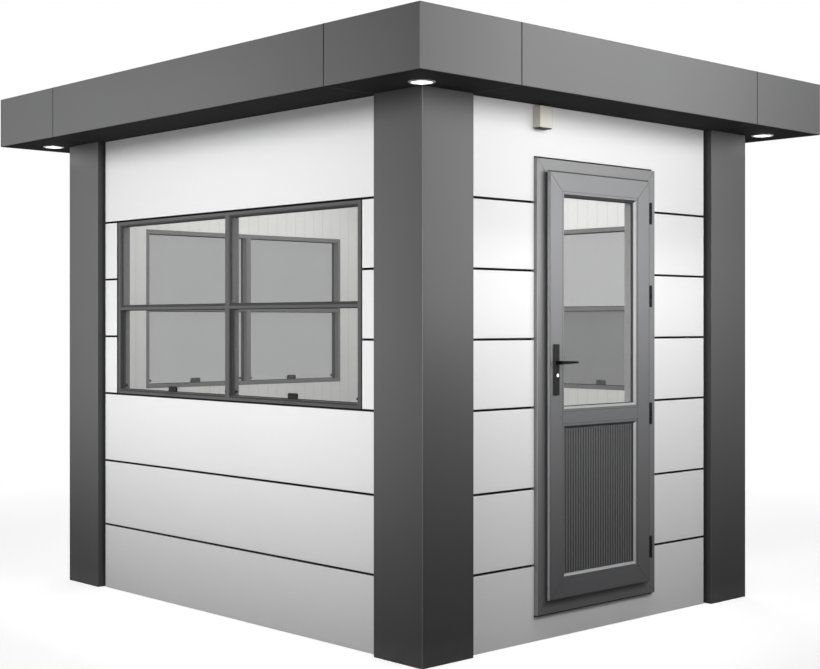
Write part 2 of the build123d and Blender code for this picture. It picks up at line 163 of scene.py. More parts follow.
class Shader:
    """The node tree of one material or world."""

    def __init__(self, owner: Union[bpy.types.Material, bpy.types.World], end: str) -> None:
        """Clears the owner's node tree and gives it an end node.

        Args:
            owner: the material or world that is dressed.
            end: the type of the output node.
        """
        owner.use_nodes = True
        self.tree = owner.node_tree
        self.tree.nodes.clear()
        self.end = self.tree.nodes.new(end)

    def node(
        self,
        kind: str,
        settings: Optional[dict] = None,
        sockets: Optional[dict] = None,
        output: Union[int, str] = 0,
    ) -> Value:
        """Adds one node.

        Args:
            kind: the node's type.
            settings: its own settings, which are set first; "stops" fills a ramp.
            sockets: values or links by the name or number of the input.
            output: the name or number of the output that is wanted.

        Returns:
            The wanted output.
        """
        made = self.tree.nodes.new(kind)
        for name, setting in (settings or {}).items():
            if name == "stops":
                self._fill_ramp(made.color_ramp, setting)
            else:
                setattr(made, name, setting)
        for key, value in (sockets or {}).items():
            if isinstance(value, Value):
                self.tree.links.new(value.socket, made.inputs[key])
            else:
                made.inputs[key].default_value = value
        return Value(self, made.outputs[output])

    @staticmethod
    def _fill_ramp(ramp: bpy.types.ColorRamp, stops: Sequence[tuple[float, Colour]]) -> None:
        """Sets the stops of a colour ramp, two or more."""
        while len(ramp.elements) < len(stops):
            ramp.elements.new(1.0)
        for element, (position, colour) in zip(ramp.elements, stops):
            element.position = position
            element.color = (*colour, 1.0)

    def place(self) -> Value:
        """The point on the object, in metres in the booth's own axes."""
        return self.node("ShaderNodeTexCoord", output="Object")

    def axes(self, vector: Value) -> tuple[Value, Value, Value]:
        """Splits a vector into its three numbers."""
        parts = self.node("ShaderNodeSeparateXYZ", sockets={0: vector})
        outputs = parts.socket.node.outputs
        return tuple(Value(self, outputs[index]) for index in range(3))

    def noise(self, scale: float, detail: float = 2.0, stretch: Colour = (1.0, 1.0, 1.0)) -> Value:
        """Cloudy noise from 0 to 1, with so many clouds to a metre."""
        place = self.place()
        if stretch != (1.0, 1.0, 1.0):
            place = self.node("ShaderNodeMapping", sockets={0: place, "Scale": stretch})
        sockets = {"Vector": place, "Scale": scale, "Detail": detail, "Roughness": 0.5}
        return self.node("ShaderNodeTexNoise", sockets=sockets, output="Fac")

    def rise(self, value: Number, low: float, high: float) -> Value:
        """A smooth step from 0 at low to 1 at high, or the other way round if high is lower."""
        sockets = {0: value, 1: low, 2: high, 3: 0.0, 4: 1.0}
        if high < low:
            sockets = {0: value, 1: high, 2: low, 3: 1.0, 4: 0.0}
        return self.node("ShaderNodeMapRange", {"interpolation_type": "SMOOTHSTEP"}, sockets)

    def larger(self, first: Number, second: Number) -> Value:
        """The larger of two numbers."""
        return self.node("ShaderNodeMath", {"operation": "MAXIMUM"}, {0: first, 1: second})

    def blend(self, share: Number, none: Union[Colour, Value], full: Union[Colour, Value]) -> Value:
        """Mixes two colours.

        Args:
            share: 0 for the first colour, 1 for the second.
            none: the colour where share is 0.
            full: the colour where share is 1.

        Returns:
            The mixed colour.
        """
        ends = [end if isinstance(end, Value) else (*end, 1.0) for end in (none, full)]
        return self.node("ShaderNodeMix", {"data_type": "RGBA"}, {0: share, 6: ends[0], 7: ends[1]}, 2)

    def bump(self, height: Value, strength: float, distance: float) -> Value:
        """A normal that follows a height."""
        return self.node(
            "ShaderNodeBump", sockets={"Height": height, "Strength": strength, "Distance": distance}
        )

    def spacing(self, value: Value, pitch: float) -> Value:
        """Distance from the nearest of a row of lines that stand pitch apart."""
        return self.node("ShaderNodeMath", {"operation": "PINGPONG"}, {0: value, 1: pitch / 2})

    def surface(self, sockets: dict) -> None:
        """Ends the tree in one Principled surface with these sockets."""
        self.close(self.node("ShaderNodeBsdfPrincipled", sockets=sockets))

    def close(self, surface: Value) -> None:
        """Ends the tree in a surface or background."""
        self.tree.links.new(surface.socket, self.end.inputs["Surface"])


# Finishes


@dataclass(frozen=True)
class Finish:
    """A finish that makes one material."""

    name: str

    def make(self) -> bpy.types.Material:
        """Makes the material and dresses its node tree."""
        material = bpy.data.materials.new(self.name)
        self.dress(Shader(material, "ShaderNodeOutputMaterial"))
        return material

    def dress(self, shader: Shader) -> None:
        """Fills in the node tree."""
        raise NotImplementedError


def shade(colour: Colour, factor: float) -> tuple[float, float, float]:
    """A colour made lighter or darker by a factor."""
    return tuple(min(1.0, part * factor) for part in colour)


@dataclass(frozen=True)
class PowderCoat(Finish):
    """A satin powder coat: cloudy by a hair, with a fine orange-peel grain and dust near the ground."""

    colour: Colour = (0.1, 0.1, 0.1)
    roughness: float = 0.5
    gloss: float = 0.3
    grain: float = 900.0
    grain_relief: float = 0.00004
    cloud: float = 0.05
    dust_height: float = 0.12
    dust: float = 0.12

    def dress(self, shader: Shader) -> None:
        """Fills in the node tree."""
        cloud = shader.noise(1.7, 3.0)
        grain = shader.noise(self.grain, 1.0)
        height = shader.axes(shader.place())[2]
        coat = shader.blend(cloud, shade(self.colour, 1 - self.cloud), shade(self.colour, 1 + self.cloud))
        dusty = shader.rise(height, self.dust_height, 0.0) * shader.noise(14.0, 4.0) * self.dust
        colour = shader.blend(dusty, coat, (0.34, 0.33, 0.31))
        shader.surface(
            {
                "Base Color": colour,
                "Roughness": (cloud - 0.5) * 0.12 + dusty * 0.5 + self.roughness,
                "Specular IOR Level": self.gloss,
                "Normal": shader.bump(grain, 1.0, self.grain_relief),
            }
        )


@dataclass(frozen=True)
class CassetteCoat(PowderCoat):
    """The powder coat of the roof's cassettes, duller on the soffit, where its colour is also darkened as painted
    shade.
    """

    # How much the soffit's colour is darkened: painted shade on the faces that look down.
    under: float = 0.45

    def dress(self, shader: Shader) -> None:
        """Fills in the node tree."""
        cloud = shader.noise(1.7, 3.0)
        facing = shader.node("ShaderNodeNewGeometry", output="Normal")
        down = shader.rise(shader.axes(facing)[2], -0.8, -0.95)
        coat = shader.blend(cloud, shade(self.colour, 1 - self.cloud), shade(self.colour, 1 + self.cloud))
        sheet = shader.node(
            "ShaderNodeBsdfPrincipled",
            sockets={
                "Base Color": coat,
                "Roughness": (cloud - 0.5) * 0.12 + self.roughness,
                "Specular IOR Level": self.gloss,
                "Normal": shader.bump(shader.noise(self.grain, 1.0), 1.0, self.grain_relief),
            },
        )
        # The soffit's darker base colour is painted shade.
        soffit = shader.node(
            "ShaderNodeBsdfPrincipled",
            sockets={
                "Base Color": (*shade(self.colour, self.under), 1.0),
                "Roughness": 0.85,
                "Specular IOR Level": 0.04,
            },
        )
        shader.close(shader.node("ShaderNodeMixShader", sockets={0: down, 1: sheet, 2: soffit}))


@dataclass(frozen=True)
class TwoToneCoat(PowderCoat):
    """The powder coat of the door: a painted highlight on the outer edge at the lock side, a lighter two-tone paint on
    the leaf's inside, and painted light on the faces that look up.
    """

    # The next colour is both a painted highlight on the outer edge at the lock side and the leaf's lighter inside
    # paint.
    light: Colour = (0.5, 0.5, 0.495)
    # Share of painted light on the faces that look up.
    painted_top_light: float = 0.45
    edge: float = 0.7715 - HALF_WIDTH
    inside: float = 0.007 - HALF_DEPTH

    def dress(self, shader: Shader) -> None:
        """Fills in the node tree."""
        cloud = shader.noise(1.7, 3.0)
        x, y, _ = shader.axes(shader.place())
        # Painted highlight on the lock-side edge; behind the flange, the leaf's lighter inside paint.
        turned = shader.larger(y - self.inside, self.edge + 0.0008 - x)
        colour = shader.blend(shader.rise(turned, 0.0, 0.0004), self.colour, self.light)
        facing = shader.node("ShaderNodeNewGeometry", output="Normal")
        # Faces that look up are blended towards pale grey: painted light from above.
        lit_from_above = shader.rise(shader.axes(facing)[2], 0.3, 0.65)
        colour = shader.blend(lit_from_above * self.painted_top_light, colour, (0.6, 0.6, 0.6))
        shader.surface(
            {
                "Base Color": shader.blend(cloud * self.cloud, colour, (0.0, 0.0, 0.0)),
                "Roughness": (cloud - 0.5) * 0.12 + self.roughness,
                "Specular IOR Level": self.gloss,
                "Normal": shader.bump(shader.noise(self.grain, 1.0), 1.0, self.grain_relief),
            }
        )


@dataclass(frozen=True)
class WindowCoat(PowderCoat):
    """The powder coat of the window frames, with painted light on the faces behind their front faces and towards the
    room.
    """

    # Colour of the painted light on the reveals and the room side.
    inner: Colour = (0.2, 0.2, 0.2)
    front: float = 0.0385

    def dress(self, shader: Shader) -> None:
        """Fills in the node tree."""
        cloud = shader.noise(1.7, 3.0)
        x, y, _ = shader.axes(shader.place())
        # Faces behind the front faces take the lighter colour: painted light.
        proud = shader.larger(abs(x) - (HALF_WIDTH - self.front), abs(y) - (HALF_DEPTH - self.front))
        colour = shader.blend(shader.rise(proud, 0.0, -0.0008), self.colour, self.inner)
        shader.surface(
            {
                "Base Color": shader.blend(cloud * self.cloud, colour, (0.0, 0.0, 0.0)),
                "Roughness": (cloud - 0.5) * 0.12 + self.roughness,
                "Specular IOR Level": self.gloss,
                "Normal": shader.bump(shader.noise(self.grain, 1.0), 1.0, self.grain_relief),
            }
        )


@dataclass(frozen=True)
class BoardSkin(Finish):
    """The white coated skin of the outer boards, softly wavy as sheet is, and black on their edges as painted shade in
    the joints.
    """

    colour: Colour = (0.86, 0.86, 0.86)
    # Colour of the edges behind the face: painted shade in the joints.
    edge: Colour = (0.004, 0.004, 0.004)
    skin_depth: float = 0.0004
    roughness: float = 0.42

    def dress(self, shader: Shader) -> None:
        """Fills in the node tree."""
        wave = shader.noise(2.6, 1.0, (0.5, 0.5, 1.4))
        grain = shader.noise(750.0, 1.0)
        height = shader.axes(shader.place())[2]
        splash = shader.rise(height, 0.16, 0.0) * shader.noise(11.0, 4.0) * 0.1
        skin = shader.blend(wave, shade(self.colour, 0.985), shade(self.colour, 1.01))
        dirty = shader.blend(splash, skin, (0.5, 0.48, 0.45))
        # The board's edges behind its face are painted black: painted shade in the joints.
        x, y, _ = shader.axes(shader.place())
        face = BOARD_FRONT + self.skin_depth
        proud = shader.larger(abs(x) - (HALF_WIDTH - face), abs(y) - (HALF_DEPTH - face))
        shader.surface(
            {
                "Base Color": shader.blend(shader.rise(proud, 0.0, -0.0008), dirty, self.edge),
                "Roughness": wave * 0.06 + splash * 0.8 + self.roughness,
                "Specular IOR Level": 0.15,
                "Normal": shader.bump(wave * 6.0 + grain * 0.03, 1.0, 0.0002),
            }
        )


@dataclass(frozen=True)
class WallLining(Finish):
    """The wall panel: white inside with upright V-joints, darkened a little as painted shade, and a black membrane on
    its outer face.
    """

    colour: Colour = (0.84, 0.84, 0.83)
    joint_pitch: float = 0.072
    joint_width: float = 0.0045

    def dress(self, shader: Shader) -> None:
        """Fills in the node tree."""
        x, y, _ = shader.axes(shader.place())
        facing = shader.node("ShaderNodeNewGeometry", output="Normal")
        sideways = shader.rise(abs(shader.axes(facing)[0]), 0.4, 0.6)
        along = x * (1.0 - sideways) + y * sideways
        joint = shader.rise(shader.spacing(along, self.joint_pitch), self.joint_width, 0.0)
        outer = shader.larger(abs(x) - (HALF_WIDTH - CORE_FRONT - 0.001), abs(y) - (HALF_DEPTH - CORE_FRONT - 0.001))
        membrane = shader.rise(outer, 0.0, 0.0005)
        # The V-joints are darkened: painted shade in the grooves.
        board = shader.blend(joint * 0.3, self.colour, shade(self.colour, 0.5))
        shader.surface(
            {
                "Base Color": shader.blend(membrane, board, (0.004, 0.004, 0.004)),
                "Roughness": membrane * 0.45 + 0.5,
                "Specular IOR Level": 0.15,
                "Normal": shader.bump(0.0 - joint, 1.0, 0.0003),
            }
        )


@dataclass(frozen=True)
class PaintedBoard(Finish):
    """A plain painted board, such as the ceiling."""

    colour: Colour = (0.84, 0.84, 0.83)

    def dress(self, shader: Shader) -> None:
        """Fills in the node tree."""
        roller = shader.noise(320.0, 2.0)
        cloud = shader.noise(3.0, 2.0)
        shader.surface(
            {
                "Base Color": shader.blend(cloud, shade(self.colour, 0.98), self.colour),
                "Roughness": roller * 0.1 + 0.5,
                "Specular IOR Level": 0.3,
                "Normal": shader.bump(roller, 1.0, 0.00008),
            }
        )


@dataclass(frozen=True)
class StuddedVinyl(Finish):
    """Dark grey floor vinyl with low round studs, worn a little brighter on their crowns."""

    colour: Colour = (0.11, 0.11, 0.11)
    pitch: float = 0.03
    stud_radius: float = 0.0105

    def dress(self, shader: Shader) -> None:
        """Fills in the node tree."""
        x, y, _ = shader.axes(shader.place())
        across = shader.spacing(x + self.pitch / 2, self.pitch)
        along = shader.spacing(y + self.pitch / 2, self.pitch)
        flat = shader.node("ShaderNodeCombineXYZ", sockets={0: across, 1: along})
        reach = shader.node("ShaderNodeVectorMath", {"operation": "LENGTH"}, {0: flat}, "Value")
        stud = shader.rise(reach, self.stud_radius, self.stud_radius - 0.0015)
        scuff = shader.noise(7.0, 5.0)
        base = shader.blend(scuff, shade(self.colour, 0.85), shade(self.colour, 1.15))
        shader.surface(
            {
                "Base Color": shader.blend(stud * scuff * 0.5, base, shade(self.colour, 1.8)),
                "Roughness": 0.62 - stud * 0.12 + (scuff - 0.5) * 0.15,
                "Specular IOR Level": 0.35,
                "Normal": shader.bump(stud + scuff * 0.06, 1.0, 0.001),
            }
        )


@dataclass(frozen=True)
class Glass(Finish):
    """Clear glass with a light grey tint: every face that is looked through takes a share."""

    tint: Colour = (0.1, 0.103, 0.103)
    cover: float = 0.245
    roughness: float = 0.02
    lower_cover: Optional[float] = None
    transom: float = 1.5

    def dress(self, shader: Shader) -> None:
        """Fills in the node tree. lower_cover darkens the panes under the transom."""
        cover = self.cover
        if self.lower_cover is not None:
            lower = shader.rise(shader.axes(shader.place())[2], self.transom + 0.001, self.transom - 0.001)
            cover = lower * (self.lower_cover - self.cover) + self.cover
        shader.surface(
            {
                "Base Color": (*self.tint, 1.0),
                "Roughness": self.roughness,
                "IOR": 1.5,
                "Alpha": cover,
            }
        )


@dataclass(frozen=True)
class Rubber(Finish):
    """Black sealing rubber, matt and faintly bloomed."""

    colour: Colour = (0.014, 0.014, 0.014)

    def dress(self, shader: Shader) -> None:
        """Fills in the node tree."""
        bloom = shader.noise(60.0, 3.0)
        shader.surface(
            {
                "Base Color": shader.blend(bloom, self.colour, shade(self.colour, 1.7)),
                "Roughness": bloom * 0.15 + 0.6,
                "Specular IOR Level": 0.3,
                "Normal": shader.bump(shader.noise(1500.0, 1.0), 1.0, 0.00003),
            }
        )


@dataclass(frozen=True)
class Hardware(Finish):
    """Satin black hardware with a fine cast grain and slightly polished touch points."""

    colour: Colour = (0.012, 0.012, 0.0125)
    roughness: float = 0.42
    gloss: float = 0.05

    def dress(self, shader: Shader) -> None:
        """Fills in the node tree."""
        grain = shader.noise(1800.0, 1.0)
        rub = shader.noise(35.0, 3.0)
        shader.surface(
            {
                "Base Color": shader.blend(rub, self.colour, shade(self.colour, 1.6)),
                "Roughness": self.roughness + (rub - 0.5) * 0.2,
                "Specular IOR Level": self.gloss,
                "Normal": shader.bump(grain, 1.0, 0.00003),
            }
        )


@dataclass(frozen=True)
class HingeSteel(Hardware):
    """Black barrels on wings that are coated with the frame."""

    coat: Colour = (0.08, 0.08, 0.082)
    wing_start: float = 1.519 - HALF_WIDTH

    def dress(self, shader: Shader) -> None:
        """Fills in the node tree."""
        grain = shader.noise(1800.0, 1.0)
        wing = shader.rise(shader.axes(shader.place())[0], self.wing_start, self.wing_start + 0.0004)
        shader.surface(
            {
                "Base Color": shader.blend(wing, self.colour, self.coat),
                "Roughness": wing * 0.04 + self.roughness,
                "Specular IOR Level": self.gloss,
                "Normal": shader.bump(grain, 1.0, 0.00003),
            }
        )


@dataclass(frozen=True)
class BrushedMetal(Finish):
    """Bare metal with fine brush lines."""

    colour: Colour = (0.6, 0.6, 0.6)
    roughness: float = 0.3
    stretch: Colour = (1.0, 1.0, 30.0)

    def dress(self, shader: Shader) -> None:
        """Fills in the node tree."""
        lines = shader.noise(260.0, 3.0, self.stretch)
        shader.surface(
            {
                "Base Color": shader.blend(lines, shade(self.colour, 0.9), shade(self.colour, 1.08)),
                "Metallic": 1.0,
                "Roughness": self.roughness + (lines - 0.5) * 0.16,
                "Normal": shader.bump(lines, 1.0, 0.00004),
            }
        )


@dataclass(frozen=True)
class OpalLens(Finish):
    """A lit opal diffuser, even and a touch dimmer at its rim."""

    glow: Colour = (1.0, 1.0, 0.985)
    strength: float = 1.6
    radius: float = 0.046
    offset: float = 0.062

    def dress(self, shader: Shader) -> None:
        """Fills in the node tree."""
        x, y, _ = shader.axes(shader.place())
        across = abs(abs(x) - (HALF_WIDTH + self.offset))
        along = abs(abs(y) - (HALF_DEPTH + self.offset))
        flat = shader.node("ShaderNodeCombineXYZ", sockets={0: across, 1: along})
        reach = shader.node("ShaderNodeVectorMath", {"operation": "LENGTH"}, {0: flat}, "Value")
        rim = shader.rise(reach, self.radius * 0.7, self.radius)
        shader.surface(
            {
                "Base Color": (0.9, 0.9, 0.88, 1.0),
                "Roughness": 0.35,
                "Emission Color": shader.blend(rim, self.glow, shade(self.glow, 0.7)),
                "Emission Strength": self.strength,
            }
        )


@dataclass(frozen=True)
class MouldedPlastic(Finish):
    """Cream moulded plastic with a fine spark texture."""

    colour: Colour = (0.62, 0.6, 0.53)
    roughness: float = 0.5

    def dress(self, shader: Shader) -> None:
        """Fills in the node tree."""
        spark = shader.noise(1400.0, 2.0)
        age = shader.noise(18.0, 3.0)
        shader.surface(
            {
                "Base Color": shader.blend(age, shade(self.colour, 0.94), shade(self.colour, 1.03)),
                "Roughness": self.roughness + (age - 0.5) * 0.1,
                "Specular IOR Level": 0.4,
                "Normal": shader.bump(spark, 1.0, 0.00005),
            }
        )


class Palette:
    """Every material of the booth, by the record's slot or by its own name."""

    def __init__(self) -> None:
        """Makes the materials once."""
        finishes = [
            PowderCoat("anthracite_sheet", colour=(0.052, 0.052, 0.053), roughness=0.42, gloss=0.25),
            CassetteCoat("cassette_coat", colour=(0.052, 0.052, 0.053), roughness=0.42, gloss=0.25),
            BoardSkin("white_board"),
            WallLining("inner_board"),
            PaintedBoard("ceiling_paint"),
            PowderCoat("frame_steel", colour=(0.03, 0.03, 0.03), roughness=0.6, gloss=0.2),
            StuddedVinyl("floor_board"),
            PowderCoat("roof_sheet", colour=(0.1, 0.1, 0.103), roughness=0.5, gloss=0.25),
            WindowCoat("window_aluminium", colour=(0.046, 0.046, 0.047), roughness=0.42, gloss=0.2),
            Glass("clear_glass"),
            # The leaf's coat: painted highlight on its lock-side edge, painted light on faces that look up, lighter
            # paint inside.
            TwoToneCoat("leaf_coat", colour=(0.078, 0.079, 0.083), roughness=0.42, gloss=0.5),
            # The frame's coat: a painted highlight on its outer edge at the lock side, and no painted light on top.
            TwoToneCoat(
                "door_frame_coat",
                colour=(0.13, 0.131, 0.134),
                roughness=0.42,
                gloss=0.4,
                light=(0.28, 0.28, 0.28),
                painted_top_light=0.0,
                edge=0.721 - HALF_WIDTH,
                inside=HALF_DEPTH,
            ),
            PowderCoat("door_panel", colour=(0.034, 0.035, 0.037), roughness=0.5, gloss=0.17),
            Hardware("black_hardware"),
            BrushedMetal("lock_steel"),
            BrushedMetal("lamp_ring", colour=(0.5, 0.5, 0.5), roughness=0.35, stretch=(1.0, 1.0, 1.0)),
            OpalLens("lamp_lens"),
            MouldedPlastic("housing_plastic"),
            Rubber("rubber"),
            Rubber("seam", colour=(0.03, 0.03, 0.03)),
            HingeSteel("hinge_steel"),
            Hardware("deep_black", colour=(0.005, 0.005, 0.005), gloss=0.03),
            # The right window's panes under the transom are darker than the panes above.
            Glass("screened_glass", lower_cover=0.54),
            Glass("back_pane", cover=0.29),
            Glass("door_pane", cover=0.18),
        ]
        for node in frame["nodes"].values():
            node.data.materials[0].name = "plain_" + node.data.materials[0].name
        self.made = {finish.name: finish.make() for finish in finishes}

    def __getitem__(self, name: str) -> bpy.types.Material:
        """The material of that name."""
        return self.made[name]


# Meshes


class Draft:
    """A mesh in the making, drawn on the walls or turned about an axis across them."""

    def __init__(self) -> None:
        """Starts with nothing drawn."""
        self.mesh = bmesh.new()

    def skin(self, loops: Sequence[Sequence[Vector]], round_trip: bool) -> None:
        """Covers a run of equal point loops with faces.

        Args:
            loops: the loops in order, each a closed line of points.
            round_trip: True joins the last loop to the first; False caps both ends.
        """
        rows = [[self.mesh.verts.new(point) for point in loop] for loop in loops]
        pairs = list(zip(rows, rows[1:]))
        if round_trip:
            pairs.append((rows[-1], rows[0]))
        for one, two in pairs:
            for index in range(len(one)):
                after = (index + 1) % len(one)
                self.mesh.faces.new((one[index], one[after], two[after], two[index]))
        if not round_trip:
            self.mesh.faces.new(rows[0])
            self.mesh.faces.new(list(reversed(rows[-1])))

    def ring(self, side: Side, rect: Rect, profile: Profile) -> None:
        """Sweeps a profile round a rectangle on a wall, with mitred corners.

        Args:
            side: the wall.
            rect: the rectangle (left, right, bottom, top).
            profile: closed line of (distance inside the rectangle, depth).
        """
        loops = []
        for right, top in ((0, 0), (1, 0), (1, 1), (0, 1)):
            loop = []
            for inward, depth in profile:
                left_edge, right_edge, bottom, head = inset(rect, inward)
                u = right_edge if right else left_edge
                z = head if top else bottom
                loop.append(side.place(u, z, depth))
            loops.append(loop)
        self.skin(loops, True)

    def bar(self, start: Vector, end: Vector, across: Vector, profile: Profile) -> None:
        """Draws a straight bar of one section.

        Args:
            start: one end of the bar's own line.
            end: the other end.
            across: the direction of the profile's first number.
            profile: closed line of (distance across, distance up), up being square to both.
        """
        run = (end - start).normalized()
        sideways = (across - across.dot(run) * run).normalized()
        up = sideways.cross(run)
        loops = [[point + sideways * a + up * b for a, b in profile] for point in (start, end)]
        self.skin(loops, False)

    def turned(self, centre: Vector, axis: Vector, outline: Profile, count: int = 24) -> None:
        """Turns an outline about an axis.

        Args:
            centre: the point that heights are measured from.
            axis: the direction of the heights.
            outline: (radius, height) from one end to the other; both ends are closed flat.
            count: how many steps make a full turn.
        """
        up = axis.normalized()
        first = up.orthogonal().normalized()
        second = up.cross(first)
        loops = []
        for radius, height in outline:
            turns = [2 * math.pi * step / count for step in range(count)]
            loops.append(
                [
                    centre + up * height + (first * math.cos(turn) + second * math.sin(turn)) * radius
                    for turn in turns
                ]
            )
        self.skin(loops, False)

    def piece(
        self,
        name: str,
        material: bpy.types.Material,
        body: Body = Body.BOOTH,
        slot: Optional[str] = None,
        smooth_under: float = 40.0,
    ) -> bpy.types.Object:
        """Makes the drawn mesh into a piece of the booth.

        Args:
            name: the piece's name.
            material: its material.
            body: the body that it rides on.
            slot: not used.
            smooth_under: faces that meet at less than this many degrees are shaded as one.

        Returns:
            The object.
        """
        bmesh.ops.recalc_face_normals(self.mesh, faces=self.mesh.faces)
        mesh = bpy.data.meshes.new(name)
        self.mesh.to_mesh(mesh)
        self.mesh.free()
        mesh.polygons.foreach_set("use_smooth", [True] * len(mesh.polygons))
        mesh.set_sharp_from_angle(angle=math.radians(smooth_under))
        mesh.materials.append(material)
        made = bpy.data.objects.new(name, mesh)
        bpy.context.scene.collection.objects.link(made)
        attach(made, body.value)
        log.info("%s: %d faces, rides on %s", name, len(mesh.polygons), body.value)
        return made


def rounded_section(width: float, height: float, radius: float) -> Profile:
    """The outline of a bar of width by height, centred across, with its two upper edges eased."""
    half = width / 2
    steps = [math.radians(turn) for turn in (0, 30, 60, 90)]
    right = [(half - radius + radius * math.cos(t), height - radius + radius * math.sin(t)) for t in steps]
    left = [(-x, y) for x, y in reversed(right)]
    return [(half, 0.0), *right, *left, (-half, 0.0)]


def stadium(width: float, height: float) -> Profile:
    """The outline of a slot with round ends, about its middle."""
    radius = height / 2
    reach = width / 2 - radius
    right = [math.radians(turn) for turn in range(-90, 91, 30)]
    outline = [(reach + radius * math.cos(t), radius * math.sin(t)) for t in right]
    return outline + [(-x, -y) for x, y in outline]


# Edges of the CAD pieces


class EdgeStyle(Enum):
    """Which edges of a CAD piece are eased."""

    ALL = "all"
    OUTER = "outer"


class Easing:
    """Eases the edges of CAD pieces with modifiers, so that they catch the light as real ones do."""

    weld_distance = 0.00002
    flat_under = 0.6
    sharp_over = 35.0
    inner_share = 0.2

    def __init__(self) -> None:
        """Makes the node groups that the modifiers share."""
        self.weld = self._weld_group()
        self.weigh = self._weigh_group()

    @staticmethod
    def _new_group(name: str) -> tuple[bpy.types.GeometryNodeTree, bpy.types.Node, bpy.types.Node]:
        """Makes an empty group with a geometry socket at each end."""
        group = bpy.data.node_groups.new(name, "GeometryNodeTree")
        group.interface.new_socket("Geometry", in_out="INPUT", socket_type="NodeSocketGeometry")
        group.interface.new_socket("Geometry", in_out="OUTPUT", socket_type="NodeSocketGeometry")
        return group, group.nodes.new("NodeGroupInput"), group.nodes.new("NodeGroupOutput")

    def _weld_group(self) -> bpy.types.GeometryNodeTree:
        """Makes the group that welds a mesh and clears its loaded normals."""
        group, start, end = self._new_group("weld")
        weld = group.nodes.new("GeometryNodeMergeByDistance")
        weld.inputs["Distance"].default_value = self.weld_distance
        clear = group.nodes.new("GeometryNodeSetMeshNormal")
        clear.mode = "SHARPNESS"
        group.links.new(start.outputs[0], weld.inputs[0])
        group.links.new(weld.outputs[0], clear.inputs[0])
        group.links.new(clear.outputs[0], end.inputs[0])
        return group

    def _weigh_group(self) -> bpy.types.GeometryNodeTree:
        """Makes the group that weighs sharp edges: those round the roof's outer faces count in full."""
        group, start, end = self._new_group("weigh")

        def add(kind: str, sockets: dict, operation: Optional[str] = None) -> bpy.types.NodeSocket:
            """Adds one node and gives its first output."""
            made = group.nodes.new(kind)
            if operation:
                made.operation = operation
            for index, value in sockets.items():
                if isinstance(value, bpy.types.NodeSocket):
                    group.links.new(value, made.inputs[index])
                else:
                    made.inputs[index].default_value = value
            return made.outputs[0]

        def beyond(number: bpy.types.NodeSocket, limit: float) -> bpy.types.NodeSocket:
            """1 where a number's size is over a limit."""
            size = add("ShaderNodeMath", {0: number}, "ABSOLUTE")
            return add("ShaderNodeMath", {0: size, 1: limit}, "GREATER_THAN")

        near = 0.0006
        parts = group.nodes.new("ShaderNodeSeparateXYZ")
        group.links.new(add("GeometryNodeInputPosition", {}), parts.inputs[0])
        outer_x = beyond(parts.outputs[0], HALF_WIDTH + OVERHANG - near)
        outer_y = beyond(parts.outputs[1], HALF_DEPTH + OVERHANG - near)
        from_middle = add("ShaderNodeMath", {0: parts.outputs[2], 1: (SOFFIT + ROOF_TOP) / 2}, "SUBTRACT")
        end_z = beyond(from_middle, (ROOF_TOP - SOFFIT) / 2 - near)
        faces = add("ShaderNodeMath", {0: outer_x, 1: outer_y}, "ADD")
        faces = add("ShaderNodeMath", {0: faces, 1: end_z}, "ADD")
        whole = add("ShaderNodeMath", {0: faces, 1: 1.5}, "GREATER_THAN")
        weight = add("ShaderNodeMath", {0: whole, 1: 1.0 - self.inner_share}, "MULTIPLY")
        weight = add("ShaderNodeMath", {0: weight, 1: self.inner_share}, "ADD")
        angle = add("GeometryNodeInputMeshEdgeAngle", {})
        sharp = add("ShaderNodeMath", {0: angle, 1: math.radians(self.sharp_over)}, "GREATER_THAN")
        weight = add("ShaderNodeMath", {0: weight, 1: sharp}, "MULTIPLY")
        store = group.nodes.new("GeometryNodeStoreNamedAttribute")
        store.data_type = "FLOAT"
        store.domain = "EDGE"
        store.inputs["Name"].default_value = "bevel_weight_edge"
        group.links.new(start.outputs[0], store.inputs["Geometry"])
        group.links.new(weight, store.inputs["Value"])
        group.links.new(store.outputs[0], end.inputs[0])
        return group

    def ease(self, node: bpy.types.Object, width: float, style: EdgeStyle = EdgeStyle.ALL) -> None:
        """Gives one CAD piece eased edges.

        Args:
            node: the CAD piece.
            width: how far the easing reaches from the edge.
            style: ALL eases every sharp edge the same, OUTER the roof's outer edges the most.
        """
        weld = node.modifiers.new("weld", "NODES")
        weld.node_group = self.weld
        flatten = node.modifiers.new("flatten", "DECIMATE")
        flatten.decimate_type = "DISSOLVE"
        flatten.angle_limit = math.radians(self.flat_under)
        if style is EdgeStyle.OUTER:
            weigh = node.modifiers.new("weigh", "NODES")
            weigh.node_group = self.weigh
        bevel = node.modifiers.new("bevel", "BEVEL")
        bevel.width = width
        bevel.segments = 2
        bevel.limit_method = "WEIGHT" if style is EdgeStyle.OUTER else "ANGLE"
        bevel.angle_limit = math.radians(self.sharp_over)
        bevel.harden_normals = True
        bevel.use_clamp_overlap = True


# The sub-assemblies


